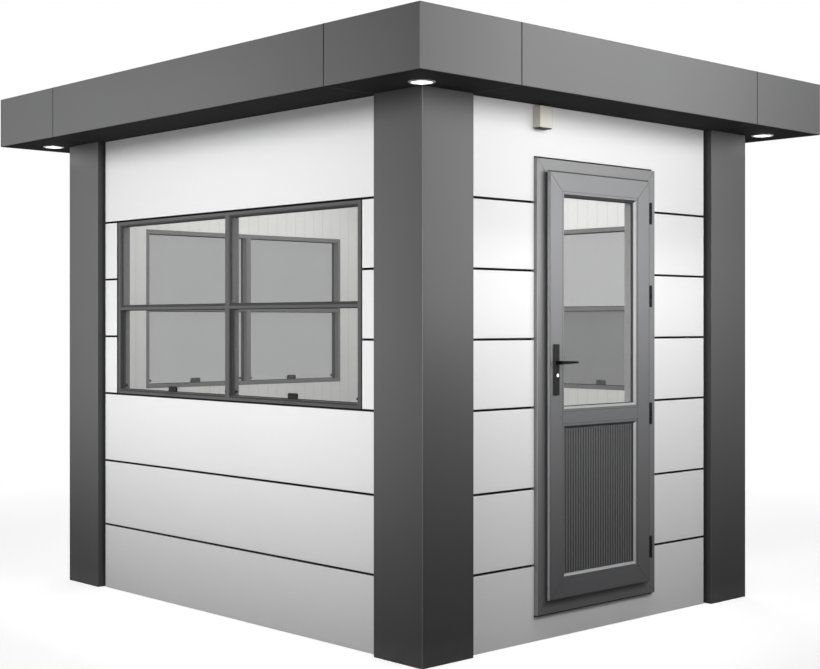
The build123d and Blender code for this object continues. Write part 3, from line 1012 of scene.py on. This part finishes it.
@dataclass
class CadDress:
    """Finishes and edge easing of the CAD pieces that stay in view."""

    palette: Palette
    easing: Easing
    roof_width: float = 0.004
    widths: dict[str, float] = field(
        default_factory=lambda: {
            "anthracite_sheet": 0.0012,
            "white_board": 0.0015,
            "inner_board": 0.001,
            "frame_steel": 0.0015,
            "floor_board": 0.001,
            "roof_sheet": 0.0015,
            "window_aluminium": 0.0012,
            "clear_glass": 0.0004,
            "door_aluminium": 0.001,
            "door_panel": 0.0005,
            "black_hardware": 0.0006,
            "lock_steel": 0.0004,
            "lamp_ring": 0.0006,
            "lamp_lens": 0.001,
            "housing_plastic": 0.002,
        }
    )

    own_finish: dict[str, str] = field(
        default_factory=lambda: {
            "ceiling": "ceiling_paint",
            "right_window_glass": "screened_glass",
            "back_window_glass": "back_pane",
            "door_glass": "door_pane",
            "door_lever": "deep_black",
            "door_hinges_leaf_side": "deep_black",
            "door_hinges_frame_side": "hinge_steel",
            "door_leaf": "leaf_coat",
            "door_frame": "door_frame_coat",
            "door_glazing_beads": "leaf_coat",
        }
    )

    def dress(self) -> None:
        """Gives every CAD node its material and eased edges."""
        slots = {part["node"]: part["material_slot"] for part in frame["record"]["subparts"]}
        for name, node in frame["nodes"].items():
            slot = slots[name]
            node.data.materials[0] = self.palette[self.own_finish.get(name, slot)]
            if name.startswith(("roof_corner", "roof_fascia")):
                node.data.materials[0] = self.palette["cassette_coat"]
                self.easing.ease(node, self.roof_width, EdgeStyle.OUTER)
            else:
                self.easing.ease(node, self.widths[slot])
            log.info("%s: CAD piece in %s", name, slot)


@dataclass
class WindowTrim:
    """Gaskets, seal strips, bolts and grips of one window: two fixed panes over two sliding ones."""

    palette: Palette
    side: Side
    half: float
    middle: float
    bottom: float = 1.0475
    top: float = 1.953
    front: float = 0.037
    jamb: float = 0.0215
    head: float = 0.014
    sill: float = 0.013
    mullion: float = 0.032
    transom: tuple[float, float] = (1.489, 1.5025)
    step: float = 0.0085
    upper_pane: tuple[float, float] = (0.045, 0.051)
    lower_pane: tuple[float, float] = (0.058, 0.064)
    gasket: float = 0.0042
    bolt_in: float = 0.025
    bolt_up: float = 0.02
    bolt_radius: float = 0.0055
    latch_face: float = 0.048
    slot_size: tuple[float, float] = (0.084, 0.0052)

    def openings(self, lower: bool) -> list[Rect]:
        """The two glazed openings of one row, left one first."""
        spans = (
            (self.middle - self.half + self.jamb, self.middle - self.mullion / 2),
            (self.middle + self.mullion / 2, self.middle + self.half - self.jamb),
        )
        if lower:
            return [(*span, self.bottom + self.sill + self.step, self.transom[0]) for span in spans]
        return [(*span, self.transom[1] + self.step, self.top - self.head - self.step) for span in spans]

    def build(self) -> None:
        """Builds every trim piece of the window."""
        self._gaskets()
        self._seal_strips()
        self._bolts()
        self._latch_grips()
        self._drain_inserts()

    def _gaskets(self) -> None:
        """Lays a rubber wedge round both faces of the four panes."""
        draft = Draft()
        wide = self.gasket
        for lower, pane in ((True, self.lower_pane), (False, self.upper_pane)):
            for rect in self.openings(lower):
                for face, away in ((pane[0], -1.0), (pane[1], 1.0)):
                    profile = [
                        (0.0, face),
                        (wide, face),
                        (wide * 0.85, face + away * 0.0012),
                        (wide * 0.3, face + away * 0.0034),
                        (0.0, face + away * 0.0034),
                    ]
                    draft.ring(self.side, rect, profile)
        draft.piece("window_gaskets_" + self.side.value, self.palette["rubber"], slot="black_hardware")

    def _seal_strips(self) -> None:
        """Fills the steps along the sill, the head and the transom with black sliding seals, and sets black strips in
        the jambs of the lower openings as painted shade.
        """
        draft = Draft()
        section = rounded_section(self.step - 0.0004, 0.0054, 0.0018)
        for lower in (True, False):
            for left, right, bottom, top in self.openings(lower):
                heights = [bottom - self.step / 2] if lower else [bottom - self.step / 2, top + self.step / 2]
                for z in heights:
                    depth = self.front + 0.006
                    start = self.side.place(left + 0.0003, z, depth)
                    end = self.side.place(right - 0.0003, z, depth)
                    draft.bar(start, end, Vector((0, 0, -1)), section)
        # The upright black strips at both jambs of the lower openings are painted shade in those reveals.
        reach = self.lower_pane[0] - self.front - 0.0025
        upright = rounded_section(0.0026, reach, 0.001)
        for left, right, bottom, top in self.openings(True):
            for u in (left + 0.0013, right - 0.0013):
                start = self.side.place(u, bottom + 0.0003, self.lower_pane[0] - 0.0003)
                end = self.side.place(u, top - 0.0003, self.lower_pane[0] - 0.0003)
                draft.bar(start, end, self.side.place(1, 0, 0) - self.side.place(0, 0, 0), upright)
        draft.piece("window_seal_strips_" + self.side.value, self.palette["rubber"], slot="black_hardware")

    def _bolts(self) -> None:
        """Puts a capped bolt through the lower corners of the sliding panes, seen from both faces."""
        draft = Draft()
        radius = self.bolt_radius
        cap = [(radius * 1.25, 0.0), (radius * 1.25, 0.0006), (radius, 0.0008), (radius, 0.0024), (radius * 0.7, 0.0034)]
        outward = self.side.place(0, 0, 0) - self.side.place(0, 0, 1)
        for left, right, bottom, _ in self.openings(True):
            for u in (left + self.bolt_in, right - self.bolt_in):
                for face, way in ((self.lower_pane[0], 1.0), (self.lower_pane[1], -1.0)):
                    centre = self.side.place(u, bottom + self.bolt_up, face)
                    draft.turned(centre, outward * way, cap, 16)
        draft.piece("window_pane_bolts_" + self.side.value, self.palette["black_hardware"], slot="black_hardware")

    def _latch_grips(self) -> None:
        """Raises three finger ridges on the face of each latch."""
        draft = Draft()
        for left, right, bottom, _ in self.openings(True):
            middle = (left + right) / 2
            for rise in (0.0075, 0.0125, 0.0175):
                start = self.side.place(middle - 0.02, bottom + rise, self.latch_face + 0.0002)
                end = self.side.place(middle + 0.02, bottom + rise, self.latch_face + 0.0002)
                draft.bar(start, end, Vector((0, 0, -1)), rounded_section(0.0024, 0.0013, 0.0006))
        draft.piece("window_latch_grips_" + self.side.value, self.palette["black_hardware"], slot="black_hardware")

    def _drain_inserts(self) -> None:
        """Sets a black insert with a narrow lip in each drain slot of the sill."""
        draft = Draft()
        for left, right, _, _ in self.openings(True):
            middle = (left + right) / 2
            height = self.bottom + self.sill / 2
            outline = stadium(*self.slot_size)
            depths = ((1.0, self.front + 0.003), (1.0, self.front + 0.0012), (0.9, self.front + 0.0008))
            loops = [
                [self.side.place(middle + u * share, height + z * share, depth) for u, z in outline]
                for share, depth in depths
            ]
            draft.skin(loops, False)
        draft.piece("window_drain_inserts_" + self.side.value, self.palette["rubber"], slot="black_hardware")


@dataclass
class DoorTrim:
    """Seals, seams and small fittings of the door leaf, its frame and its hinges."""

    palette: Palette
    leaf: Rect = (0.7715 - HALF_WIDTH, 1.49 - HALF_WIDTH, 0.181, 2.096)
    frame_outer: Rect = (0.721 - HALF_WIDTH, 1.5695 - HALF_WIDTH, 0.116, 2.156)
    frame_inner: Rect = (0.79 - HALF_WIDTH, 1.472 - HALF_WIDTH, 0.199, 2.078)
    glass: Rect = (0.8565 - HALF_WIDTH, 1.4015 - HALF_WIDTH, 1.0205, 2.0125)
    panel: Rect = (0.8565 - HALF_WIDTH, 1.4015 - HALF_WIDTH, 0.267, 0.967)
    lip: float = 0.003
    leaf_front: float = -0.014
    leaf_back: float = 0.054
    frame_front: float = 0.015
    bead: float = 0.022
    pane: tuple[float, float] = (0.002, 0.008)
    panel_back: float = 0.015
    hinge_u: float = 1.51 - HALF_WIDTH
    hinge_depth: float = -0.007
    hinge_heights: tuple[float, ...] = (0.344, 0.986, 1.548, 1.946)
    hinge_length: float = 0.099
    lever_u: float = 0.8125 - HALF_WIDTH
    lever_height: float = 1.243
    plate_ends: tuple[float, float] = (1.096, 1.325)
    cylinder_height: float = 1.186
    collar: Profile = ((0.0118, -0.022), (0.0114, -0.0254), (0.0086, -0.0258), (0.0081, -0.0249))
    housing: Rect = (0.711 - HALF_WIDTH, 0.794 - HALF_WIDTH, 2.289, 2.385)
    housing_middle: float = 0.012
    seam_width: float = 0.0011

    def build(self) -> None:
        """Builds every trim piece of the door."""
        self._flange_seal()
        self._gaskets()
        self._leaf_seams()
        self._frame_seams()
        self._hinge_caps()
        self._plate_screws()
        self._cylinder_collar()
        self._latch_parts()
        self._underside_shade_plate()

    def _flange_seal(self) -> None:
        """Lays the thick black seal between the leaf's flange and the face of the frame; its black is partly a rubber
        seal and partly painted shade for the shadow in that gap.
        """
        draft = Draft()
        reach = self.frame_front - 0.0008
        profile = [
            (0.0, 0.0),
            (0.011, 0.0),
            (0.011, reach - 0.003),
            (0.009, reach),
            (0.002, reach),
            (0.0, reach - 0.002),
            (0.0008, reach * 0.5),
        ]
        draft.ring(Side.FRONT, inset(self.leaf, 0.0022), profile)
        self._edge_seal_and_gap_shade(draft)
        draft.piece("door_flange_seal", self.palette["rubber"], Body.DOOR, "black_hardware")

    def _edge_seal_and_gap_shade(self, draft: Draft) -> None:
        """Adds the black lip that shows as a line over the leaf's head and down its hinge side: partly a rubber lip and
        partly painted shade for the shadow in the gap round the leaf.
        """
        left, right, _, head = self.leaf
        rim = self.leaf_front + self.lip
        top = [(0.0, rim + 0.001), (0.0066, rim + 0.003), (0.0066, rim + 0.006), (0.0, rim + 0.0075)]
        side = [(0.0, rim - 0.001), (0.003, rim - 0.0006), (0.003, rim + 0.006), (0.0, rim + 0.0075)]
        over = [[Side.FRONT.place(u, head - 0.0002 + rise, depth) for rise, depth in top] for u in (left, right)]
        down = [
            [Side.FRONT.place(right - 0.0002 + out, z, depth) for out, depth in side]
            for z in (self.leaf[2] + 0.002, head - 0.002)
        ]
        draft.skin(over, False)
        draft.skin(down, False)

    def _gaskets(self) -> None:
        """Lays the narrow gaskets between the beads and the pane, and inside round the panel."""
        draft = Draft()
        edge = inset(self.glass, self.bead)
        front, back = self.pane
        outside = [(0.0, front), (0.0038, front), (0.0034, front - 0.0014), (0.0008, front - 0.0034), (0.0, front - 0.0034)]
        inside = [(inward, back + front - depth) for inward, depth in outside]
        draft.ring(Side.FRONT, edge, outside)
        draft.ring(Side.FRONT, edge, inside)
        low = [(inward, self.panel_back + front - depth) for inward, depth in outside]
        draft.ring(Side.FRONT, inset(self.panel, self.bead), low)
        draft.piece("door_glass_gaskets", self.palette["rubber"], Body.DOOR, "black_hardware")

    def _seam(self, draft: Draft, start: tuple[float, float], end: tuple[float, float], depth: float) -> None:
        """Draws one thin seam between two (u, z) points on the front face at a depth."""
        one = Side.FRONT.place(*start, depth)
        two = Side.FRONT.place(*end, depth)
        outward = Vector((0, -1, 0))
        across = (two - one).cross(outward)
        half = self.seam_width / 2
        section = [(half, -0.0006), (half * 0.8, 0.00016), (-half * 0.8, 0.00016), (-half, -0.0006)]
        draft.bar(one, two, across * -1.0, section)

    def _leaf_seams(self) -> None:
        """Draws the mitres of the leaf's corners and the butt joints of its middle rail."""
        draft = Draft()
        outer = inset(self.leaf, self.lip)
        for column in (0, 1):
            self._seam(draft, (outer[column], outer[3]), (self.glass[column], self.glass[3]), self.leaf_front)
            self._seam(draft, (outer[column], outer[2]), (self.panel[column], self.panel[2]), self.leaf_front)
            self._seam(draft, (self.glass[column], self.glass[2]), (self.panel[column], self.panel[3]), self.leaf_front)
        front = self.leaf_front
        edge = [(-0.0004, front + 0.0006), (-0.0004, front - 0.00016), (0.0012, front - 0.00016), (0.0012, front + 0.0014)]
        draft.ring(Side.FRONT, self.glass, edge)
        draft.ring(Side.FRONT, self.panel, edge)
        draft.piece("door_leaf_seams", self.palette["seam"], Body.DOOR, "black_hardware")

    def _frame_seams(self) -> None:
        """Draws the mitres of the frame, from its outer corners to the edge of the leaf."""
        draft = Draft()
        clear = 0.0015
        for column, way in ((0, 1.0), (1, -1.0)):
            for row, climb in ((2, 1.0), (3, -1.0)):
                start = Vector((self.frame_outer[column], self.frame_outer[row]))
                run = Vector((self.frame_inner[column], self.frame_inner[row])) - start
                reach = [
                    (self.leaf[column] - way * clear - start.x) / run.x,
                    (self.leaf[row] - climb * clear - start.y) / run.y,
                ]
                end = start + run * min(reach)
                first = start + run * 0.05
                self._seam(draft, tuple(first), tuple(end), self.frame_front)
        draft.piece("door_frame_seams", self.palette["seam"], Body.BOOTH, "black_hardware")

    def _hinge_caps(self) -> None:
        """Closes both ends of each hinge barrel with a low domed cap."""
        draft = Draft()
        dome = [(0.0062, -0.001), (0.0062, 0.0006), (0.0052, 0.002), (0.003, 0.003), (0.0012, 0.0033)]
        for height in self.hinge_heights:
            for way in (-1.0, 1.0):
                end = Side.FRONT.place(self.hinge_u, height + way * self.hinge_length / 2, self.hinge_depth)
                draft.turned(end, Vector((0, 0, way)), dome, 20)
        draft.piece("door_hinge_caps", self.palette["black_hardware"], Body.BOOTH, "black_hardware")

    def _plate_screws(self) -> None:
        """Sets the two screws of the inside backplate."""
        draft = Draft()
        head = [(0.0038, 0.0), (0.0038, 0.0006), (0.003, 0.0014), (0.0012, 0.0017)]
        for z in (self.plate_ends[0] + 0.014, self.plate_ends[1] - 0.014):
            centre = Side.FRONT.place(self.lever_u, z, self.leaf_back + 0.008)
            draft.turned(centre, Vector((0, 1, 0)), head, 16)
        draft.piece("door_plate_screws", self.palette["lock_steel"], Body.DOOR, "lock_steel")

    def _cylinder_collar(self) -> None:
        """Sets a black collar on the plate round the lock cylinder's face."""
        draft = Draft()
        centre = Side.FRONT.place(self.lever_u, self.cylinder_height, 0.0)
        turns = [math.radians(turn) for turn in range(0, 360, 15)]
        loops = []
        for radius, depth in self.collar:
            loops.append([centre + Vector((math.cos(t) * radius, depth, math.sin(t) * radius)) for t in turns])
        draft.skin(loops, True)
        draft.piece("door_cylinder_collar", self.palette["deep_black"], Body.DOOR, "black_hardware")

    def _latch_parts(self) -> None:
        """Sets the faceplate and latch in the leaf's closing edge, and the strike plate in the jamb."""
        across = Vector((0, 1, 0))
        leaf_edge = self.frame_inner[0] + 0.008
        for name, body, start, end, u, thick in (
            ("door_latch_plate", Body.DOOR, 1.12, 1.31, leaf_edge, -0.0014),
            ("door_strike_plate", Body.BOOTH, 1.15, 1.29, self.frame_inner[0], 0.0009),
        ):
            draft = Draft()
            middle = Side.FRONT.place(u, (start + end) / 2, 0.027)
            outline = stadium(end - start, 0.02)
            loops = []
            for share, out in ((1.0, -0.3 * thick), (1.0, 0.75 * thick), (0.985, thick)):
                loops.append([middle + Vector((out, z * share, y * share)) for y, z in outline])
            draft.skin(loops, False)
            if body is Body.DOOR:
                foot = Side.FRONT.place(u, self.lever_height, 0.027)
                tongue = [(0.0065, 0.0), (0.0065, 0.0018), (0.001, 0.0042), (-0.0065, 0.0042), (-0.0065, 0.0)]
                rise = Vector((0, 0, 0.011))
                loops = [[foot + sign * rise + across * a + Vector((-b, 0, 0)) for a, b in tongue] for sign in (-1, 1)]
                draft.skin(loops, False)
            draft.piece(name, self.palette["lock_steel"], body, "lock_steel")


    def _underside_shade_plate(self) -> None:
        """Closes the housing over the door from below with a black plate, which is painted shade for its underside."""
        draft = Draft()
        left, right, bottom, _ = self.housing
        start = Side.FRONT.place(left + 0.003, bottom + 0.0002, self.housing_middle)
        end = Side.FRONT.place(right - 0.003, bottom + 0.0002, self.housing_middle)
        draft.bar(start, end, Vector((0, 1, 0)), rounded_section(0.04, 0.004, 0.001))
        draft.piece("sensor_housing_shade_plate", self.palette["rubber"], slot="black_hardware")


@dataclass
class RoofTrim:
    """What closes and fixes the roof: strips behind the cassette joints, and the deck's screws."""

    palette: Palette
    joint_front: float = 0.854
    joint_side: float = 1.1105
    strip_width: float = 0.03
    strip_gap: float = 0.0002
    strip_sheet: float = 0.0012
    seal_width: float = 0.0058
    seal_depth: float = 0.0004
    flange: float = 0.077
    deck_top: float = 2.6
    rib_count: int = 9
    rib_height: float = 0.016
    screw_rows: int = 7

    def build(self) -> None:
        """Builds every trim piece of the roof."""
        self._joint_strips()
        self._deck_screws()

    def _joint_strips(self) -> None:
        """Folds a strip behind each joint of the fascia, and a seal in it, round soffit and top edge too."""
        draft = Draft()
        for width, near in ((self.strip_width, SHEET + self.strip_gap), (self.seal_width, self.seal_depth)):
            outline = self._folded(near)
            half = width / 2
            for side in Side:
                joint = self.joint_front if side in (Side.FRONT, Side.BACK) else self.joint_side
                for middle in (-joint, joint):
                    loops = [[side.place(middle + u, z, depth) for depth, z in outline] for u in (-half, half)]
                    draft.skin(loops, False)
        draft.piece("cassette_joint_strips", self.palette["deep_black"], slot="black_hardware")

    def _folded(self, near: float) -> Profile:
        """Draws a strip that follows the cassettes at a distance inside their outer faces.

        Args:
            near: the distance.

        Returns:
            Closed line of (depth, height).
        """
        thick = self.strip_sheet
        front = -OVERHANG + near
        back = WALL_BACK - 0.002
        low = SOFFIT + near
        high = ROOF_TOP - near
        turn = -OVERHANG + self.flange - 0.002
        return [
            (back, low),
            (front, low),
            (front, high),
            (turn, high),
            (turn, high - thick),
            (front + thick, high - thick),
            (front + thick, low + thick),
            (back, low + thick),
        ]

    def _deck_screws(self) -> None:
        """Drives a row of washered hexagon screws through the crown of each rib of the deck."""
        draft = Draft()
        x_end = HALF_WIDTH + OVERHANG - SHEET - 0.08
        y_end = HALF_DEPTH + OVERHANG - SHEET - 0.16
        washer = [(0.008, 0.0), (0.008, 0.001), (0.0062, 0.0018)]
        head = [(0.0046, 0.0014), (0.0046, 0.0052), (0.0036, 0.006)]
        for rib in range(self.rib_count):
            x = -x_end + (rib + 0.5) * 2 * x_end / self.rib_count
            for row in range(self.screw_rows):
                y = -y_end + row * 2 * y_end / (self.screw_rows - 1)
                foot = Vector((x, y, self.deck_top + self.rib_height - 0.0002))
                draft.turned(foot, Vector((0, 0, 1)), washer, 12)
                draft.turned(foot, Vector((0, 0, 1)), head, 6)
        draft.piece("roof_deck_screws", self.palette["lock_steel"], slot="lock_steel", smooth_under=30.0)


# The studio


class Light(Enum):
    """What a studio lamp adds to a surface: its matt shade, its gloss or both."""

    MATT = (True, False)
    GLOSS = (False, True)
    BOTH = (True, True)


@dataclass
class Softbox:
    """A rectangular studio lamp that isn't seen itself, nor mirrored in the panes."""

    name: str
    centre: Vector
    target: Vector
    width: float
    height: float
    power: float
    gives: Light = Light.MATT

    def build(self, lit: bpy.types.Collection) -> None:
        """Hangs the lamp and turns it to its target.

        Args:
            lit: the pieces that it lights.
        """
        data = bpy.data.lights.new(self.name, "AREA")
        data.shape = "RECTANGLE"
        data.size = self.width
        data.size_y = self.height
        data.energy = self.power
        lamp = bpy.data.objects.new(self.name, data)
        lamp.location = self.centre
        lamp.rotation_euler = (self.target - self.centre).to_track_quat("-Z", "Y").to_euler()
        lamp.visible_camera = False
        lamp.visible_transmission = False
        lamp.visible_diffuse, lamp.visible_glossy = self.gives.value
        if self.gives is Light.GLOSS:
            lamp.light_linking.receiver_collection = lit
        bpy.context.scene.collection.objects.link(lamp)


@dataclass
class Studio:
    """Pale floor, soft lamps, white surroundings and the camera."""

    eye: Vector = field(default_factory=lambda: Vector((-5.2315, -5.695, 1.42)))
    heading: float = 46.908
    lens: float = 63.32
    shift_up: float = -0.01405
    floor_radius: float = 40.0
    ambient: float = 0.1

    def build(self) -> None:
        """Builds everything round the booth."""
        self._camera()
        self._floor()
        self._world()
        lit = self._pieces_without_glass()
        for box in self._softboxes():
            box.build(lit)
        self._lamp_glow()

    @staticmethod
    def _pieces_without_glass() -> bpy.types.Collection:
        """Collects every piece but the panes, which would mirror a gloss lamp as a white patch."""
        lit = bpy.data.collections.new("all_but_glass")
        for piece in bpy.context.scene.objects:
            if piece.type == "MESH" and not piece.name.endswith("_glass"):
                lit.objects.link(piece)
        return lit

    def _camera(self) -> None:
        """Stands the camera where the photographer's was, level."""
        data = bpy.data.cameras.new("camera")
        data.lens = self.lens
        data.sensor_width = 36.0
        data.shift_y = self.shift_up
        data.clip_end = 300.0
        camera = bpy.data.objects.new("camera", data)
        camera.location = self.eye
        camera.rotation_euler = (math.radians(90), 0.0, math.radians(self.heading - 90))
        bpy.context.scene.collection.objects.link(camera)
        bpy.context.scene.camera = camera

    def _floor(self) -> None:
        """Lays a round pale floor that goes over to white away from the booth."""
        mesh = bpy.data.meshes.new("floor")
        sheet = bmesh.new()
        bmesh.ops.create_circle(sheet, cap_ends=True, segments=96, radius=self.floor_radius)
        bmesh.ops.translate(sheet, verts=sheet.verts, vec=(0, 0, -0.0008))
        sheet.to_mesh(mesh)
        sheet.free()
        floor = bpy.data.objects.new("floor", mesh)
        bpy.context.scene.collection.objects.link(floor)
        material = bpy.data.materials.new("floor_pale")
        mesh.materials.append(material)
        shader = Shader(material, "ShaderNodeOutputMaterial")
        reach = shader.node("ShaderNodeVectorMath", {"operation": "LENGTH"}, {0: shader.place()}, "Value")
        away = shader.rise(reach, 2.4, 6.0)
        matt = shader.node("ShaderNodeBsdfDiffuse", sockets={0: (0.12, 0.12, 0.12, 1.0)})
        lit = shader.node("ShaderNodeBsdfDiffuse", sockets={0: (0.6, 0.6, 0.6, 1.0)})
        glow = shader.node("ShaderNodeEmission", sockets={0: (0.62, 0.62, 0.62, 1.0)})
        near = shader.node("ShaderNodeAddShader", sockets={0: lit, 1: glow})
        far = shader.node("ShaderNodeEmission", sockets={0: (1.0, 1.0, 1.0, 1.0)})
        shown = shader.node("ShaderNodeMixShader", sockets={0: away, 1: near, 2: far})
        mirrored = shader.node("ShaderNodeMixShader", sockets={0: shader.rise(reach, 4.0, 14.0), 1: matt, 2: far})
        glossy = shader.node("ShaderNodeLightPath", output="Is Glossy Ray")
        shown = shader.node("ShaderNodeMixShader", sockets={0: glossy, 1: shown, 2: mirrored})
        shader.close(shader.node("ShaderNodeMixShader", sockets={0: self._seen(shader), 1: matt, 2: shown}))

    def _seen(self, shader: Shader) -> Value:
        """1 for what the camera sees straight, in a reflection or through glass."""
        path = {}
        for name in ("Is Camera Ray", "Is Glossy Ray", "Is Transmission Ray"):
            path[name] = shader.node("ShaderNodeLightPath", output=name)
        straight = shader.larger(path["Is Camera Ray"], path["Is Glossy Ray"])
        return shader.larger(straight, path["Is Transmission Ray"])

    def _world(self) -> None:
        """Surrounds the booth with white to the eye and a low even light to its surfaces."""
        world = bpy.data.worlds.new("studio")
        bpy.context.scene.world = world
        shader = Shader(world, "ShaderNodeOutputWorld")
        low = shader.node("ShaderNodeBackground", sockets={0: (1.0, 1.0, 1.0, 1.0), 1: self.ambient})
        white = shader.node("ShaderNodeBackground", sockets={0: (1.0, 1.0, 1.0, 1.0), 1: 1.0})
        shader.close(shader.node("ShaderNodeMixShader", sockets={0: self._seen(shader), 1: low, 2: white}))

    def _softboxes(self) -> list[Softbox]:
        """The lamps outside, and one under the ceiling."""
        matt, gloss = Light.MATT, Light.GLOSS
        return [
            Softbox("left_high", Vector((-3.76, 2.0, 3.4)), Vector((-1.1, 2.0, 3.2)), 3.0, 1.0, 10.8, matt),
            Softbox("left_key", Vector((-3.46, 0.0, 3.0)), Vector((-1.1, 0.0, 3.0)), 3.6, 0.8, 41.4, matt),
            Softbox("left_near", Vector((-2.56, -0.9, 3.0)), Vector((-1.1, -0.9, 3.0)), 2.0, 0.8, 7.3, matt),
            Softbox("left_low", Vector((-2.16, 0.0, 1.1)), Vector((-1.1, 0.0, 1.1)), 4.0, 0.8, 17.8, matt),
            Softbox("front_high", Vector((-0.2, -2.42, 4.1)), Vector((-0.2, -1.4, 4.1)), 2.6, 0.8, 139.7, matt),
            Softbox("front_key", Vector((1.3, -3.82, 3.0)), Vector((1.3, -1.4, 3.0)), 2.4, 0.8, 27.5, matt),
            Softbox("front_near", Vector((-0.6, -3.32, 2.6)), Vector((-0.6, -1.4, 2.6)), 1.8, 0.8, 27.1, matt),
            Softbox("front_low", Vector((0.2, -2.52, 1.2)), Vector((0.2, -1.4, 1.2)), 3.0, 0.8, 7.0, matt),
            Softbox("back_lamp", Vector((3.6, 3.6, 3.2)), Vector((0.2, 0.2, 1.2)), 3.0, 2.0, 110.0, matt),
            Softbox("left_gloss", Vector((-4.2, 3.6, 1.95)), Vector((-1.1, 3.6, 1.95)), 5.0, 3.5, 198.8, gloss),
            Softbox("front_gloss", Vector((1.9, -3.9, 2.65)), Vector((1.9, -1.4, 2.65)), 3.0, 2.7, 207.8, gloss),
            Softbox("eye_gloss", Vector((-6.6, -7.2, 2.2)), Vector((0.0, 0.0, 1.4)), 3.0, 3.0, 2200.0, gloss),
            Softbox("room_lamp", Vector((0.0, 0.0, 2.37)), Vector((0.0, 0.001, 0.0)), 1.7, 2.2, 38.0, matt),
        ]

    def _lamp_glow(self) -> None:
        """A faint light under each lens, which lights the soffit round it."""
        for x in (-1, 1):
            for y in (-1, 1):
                data = bpy.data.lights.new("lens_glow", "POINT")
                data.energy = 0.09
                data.shadow_soft_size = 0.04
                glow = bpy.data.objects.new("lens_glow", data)
                glow.location = (x * (HALF_WIDTH + 0.062), y * (HALF_DEPTH + 0.062), SOFFIT - 0.06)
                glow.visible_camera = False
                bpy.context.scene.collection.objects.link(glow)


def main() -> None:
    """Builds the booth's looks and its studio in order."""
    logging.basicConfig(level=logging.INFO, format="%(name)s: %(message)s")
    bpy.context.scene.view_settings.view_transform = "Standard"
    palette = Palette()
    CadDress(palette, Easing()).dress()
    for side, half, middle in (
        (Side.LEFT, 0.9809, 0.01),
        (Side.BACK, 0.723, 0.0),
        (Side.RIGHT, 0.9809, -0.01),
    ):
        WindowTrim(palette, side, half, middle).build()
    DoorTrim(palette).build()
    RoofTrim(palette).build()
    Studio().build()


if __name__ == "__main__":
    main()
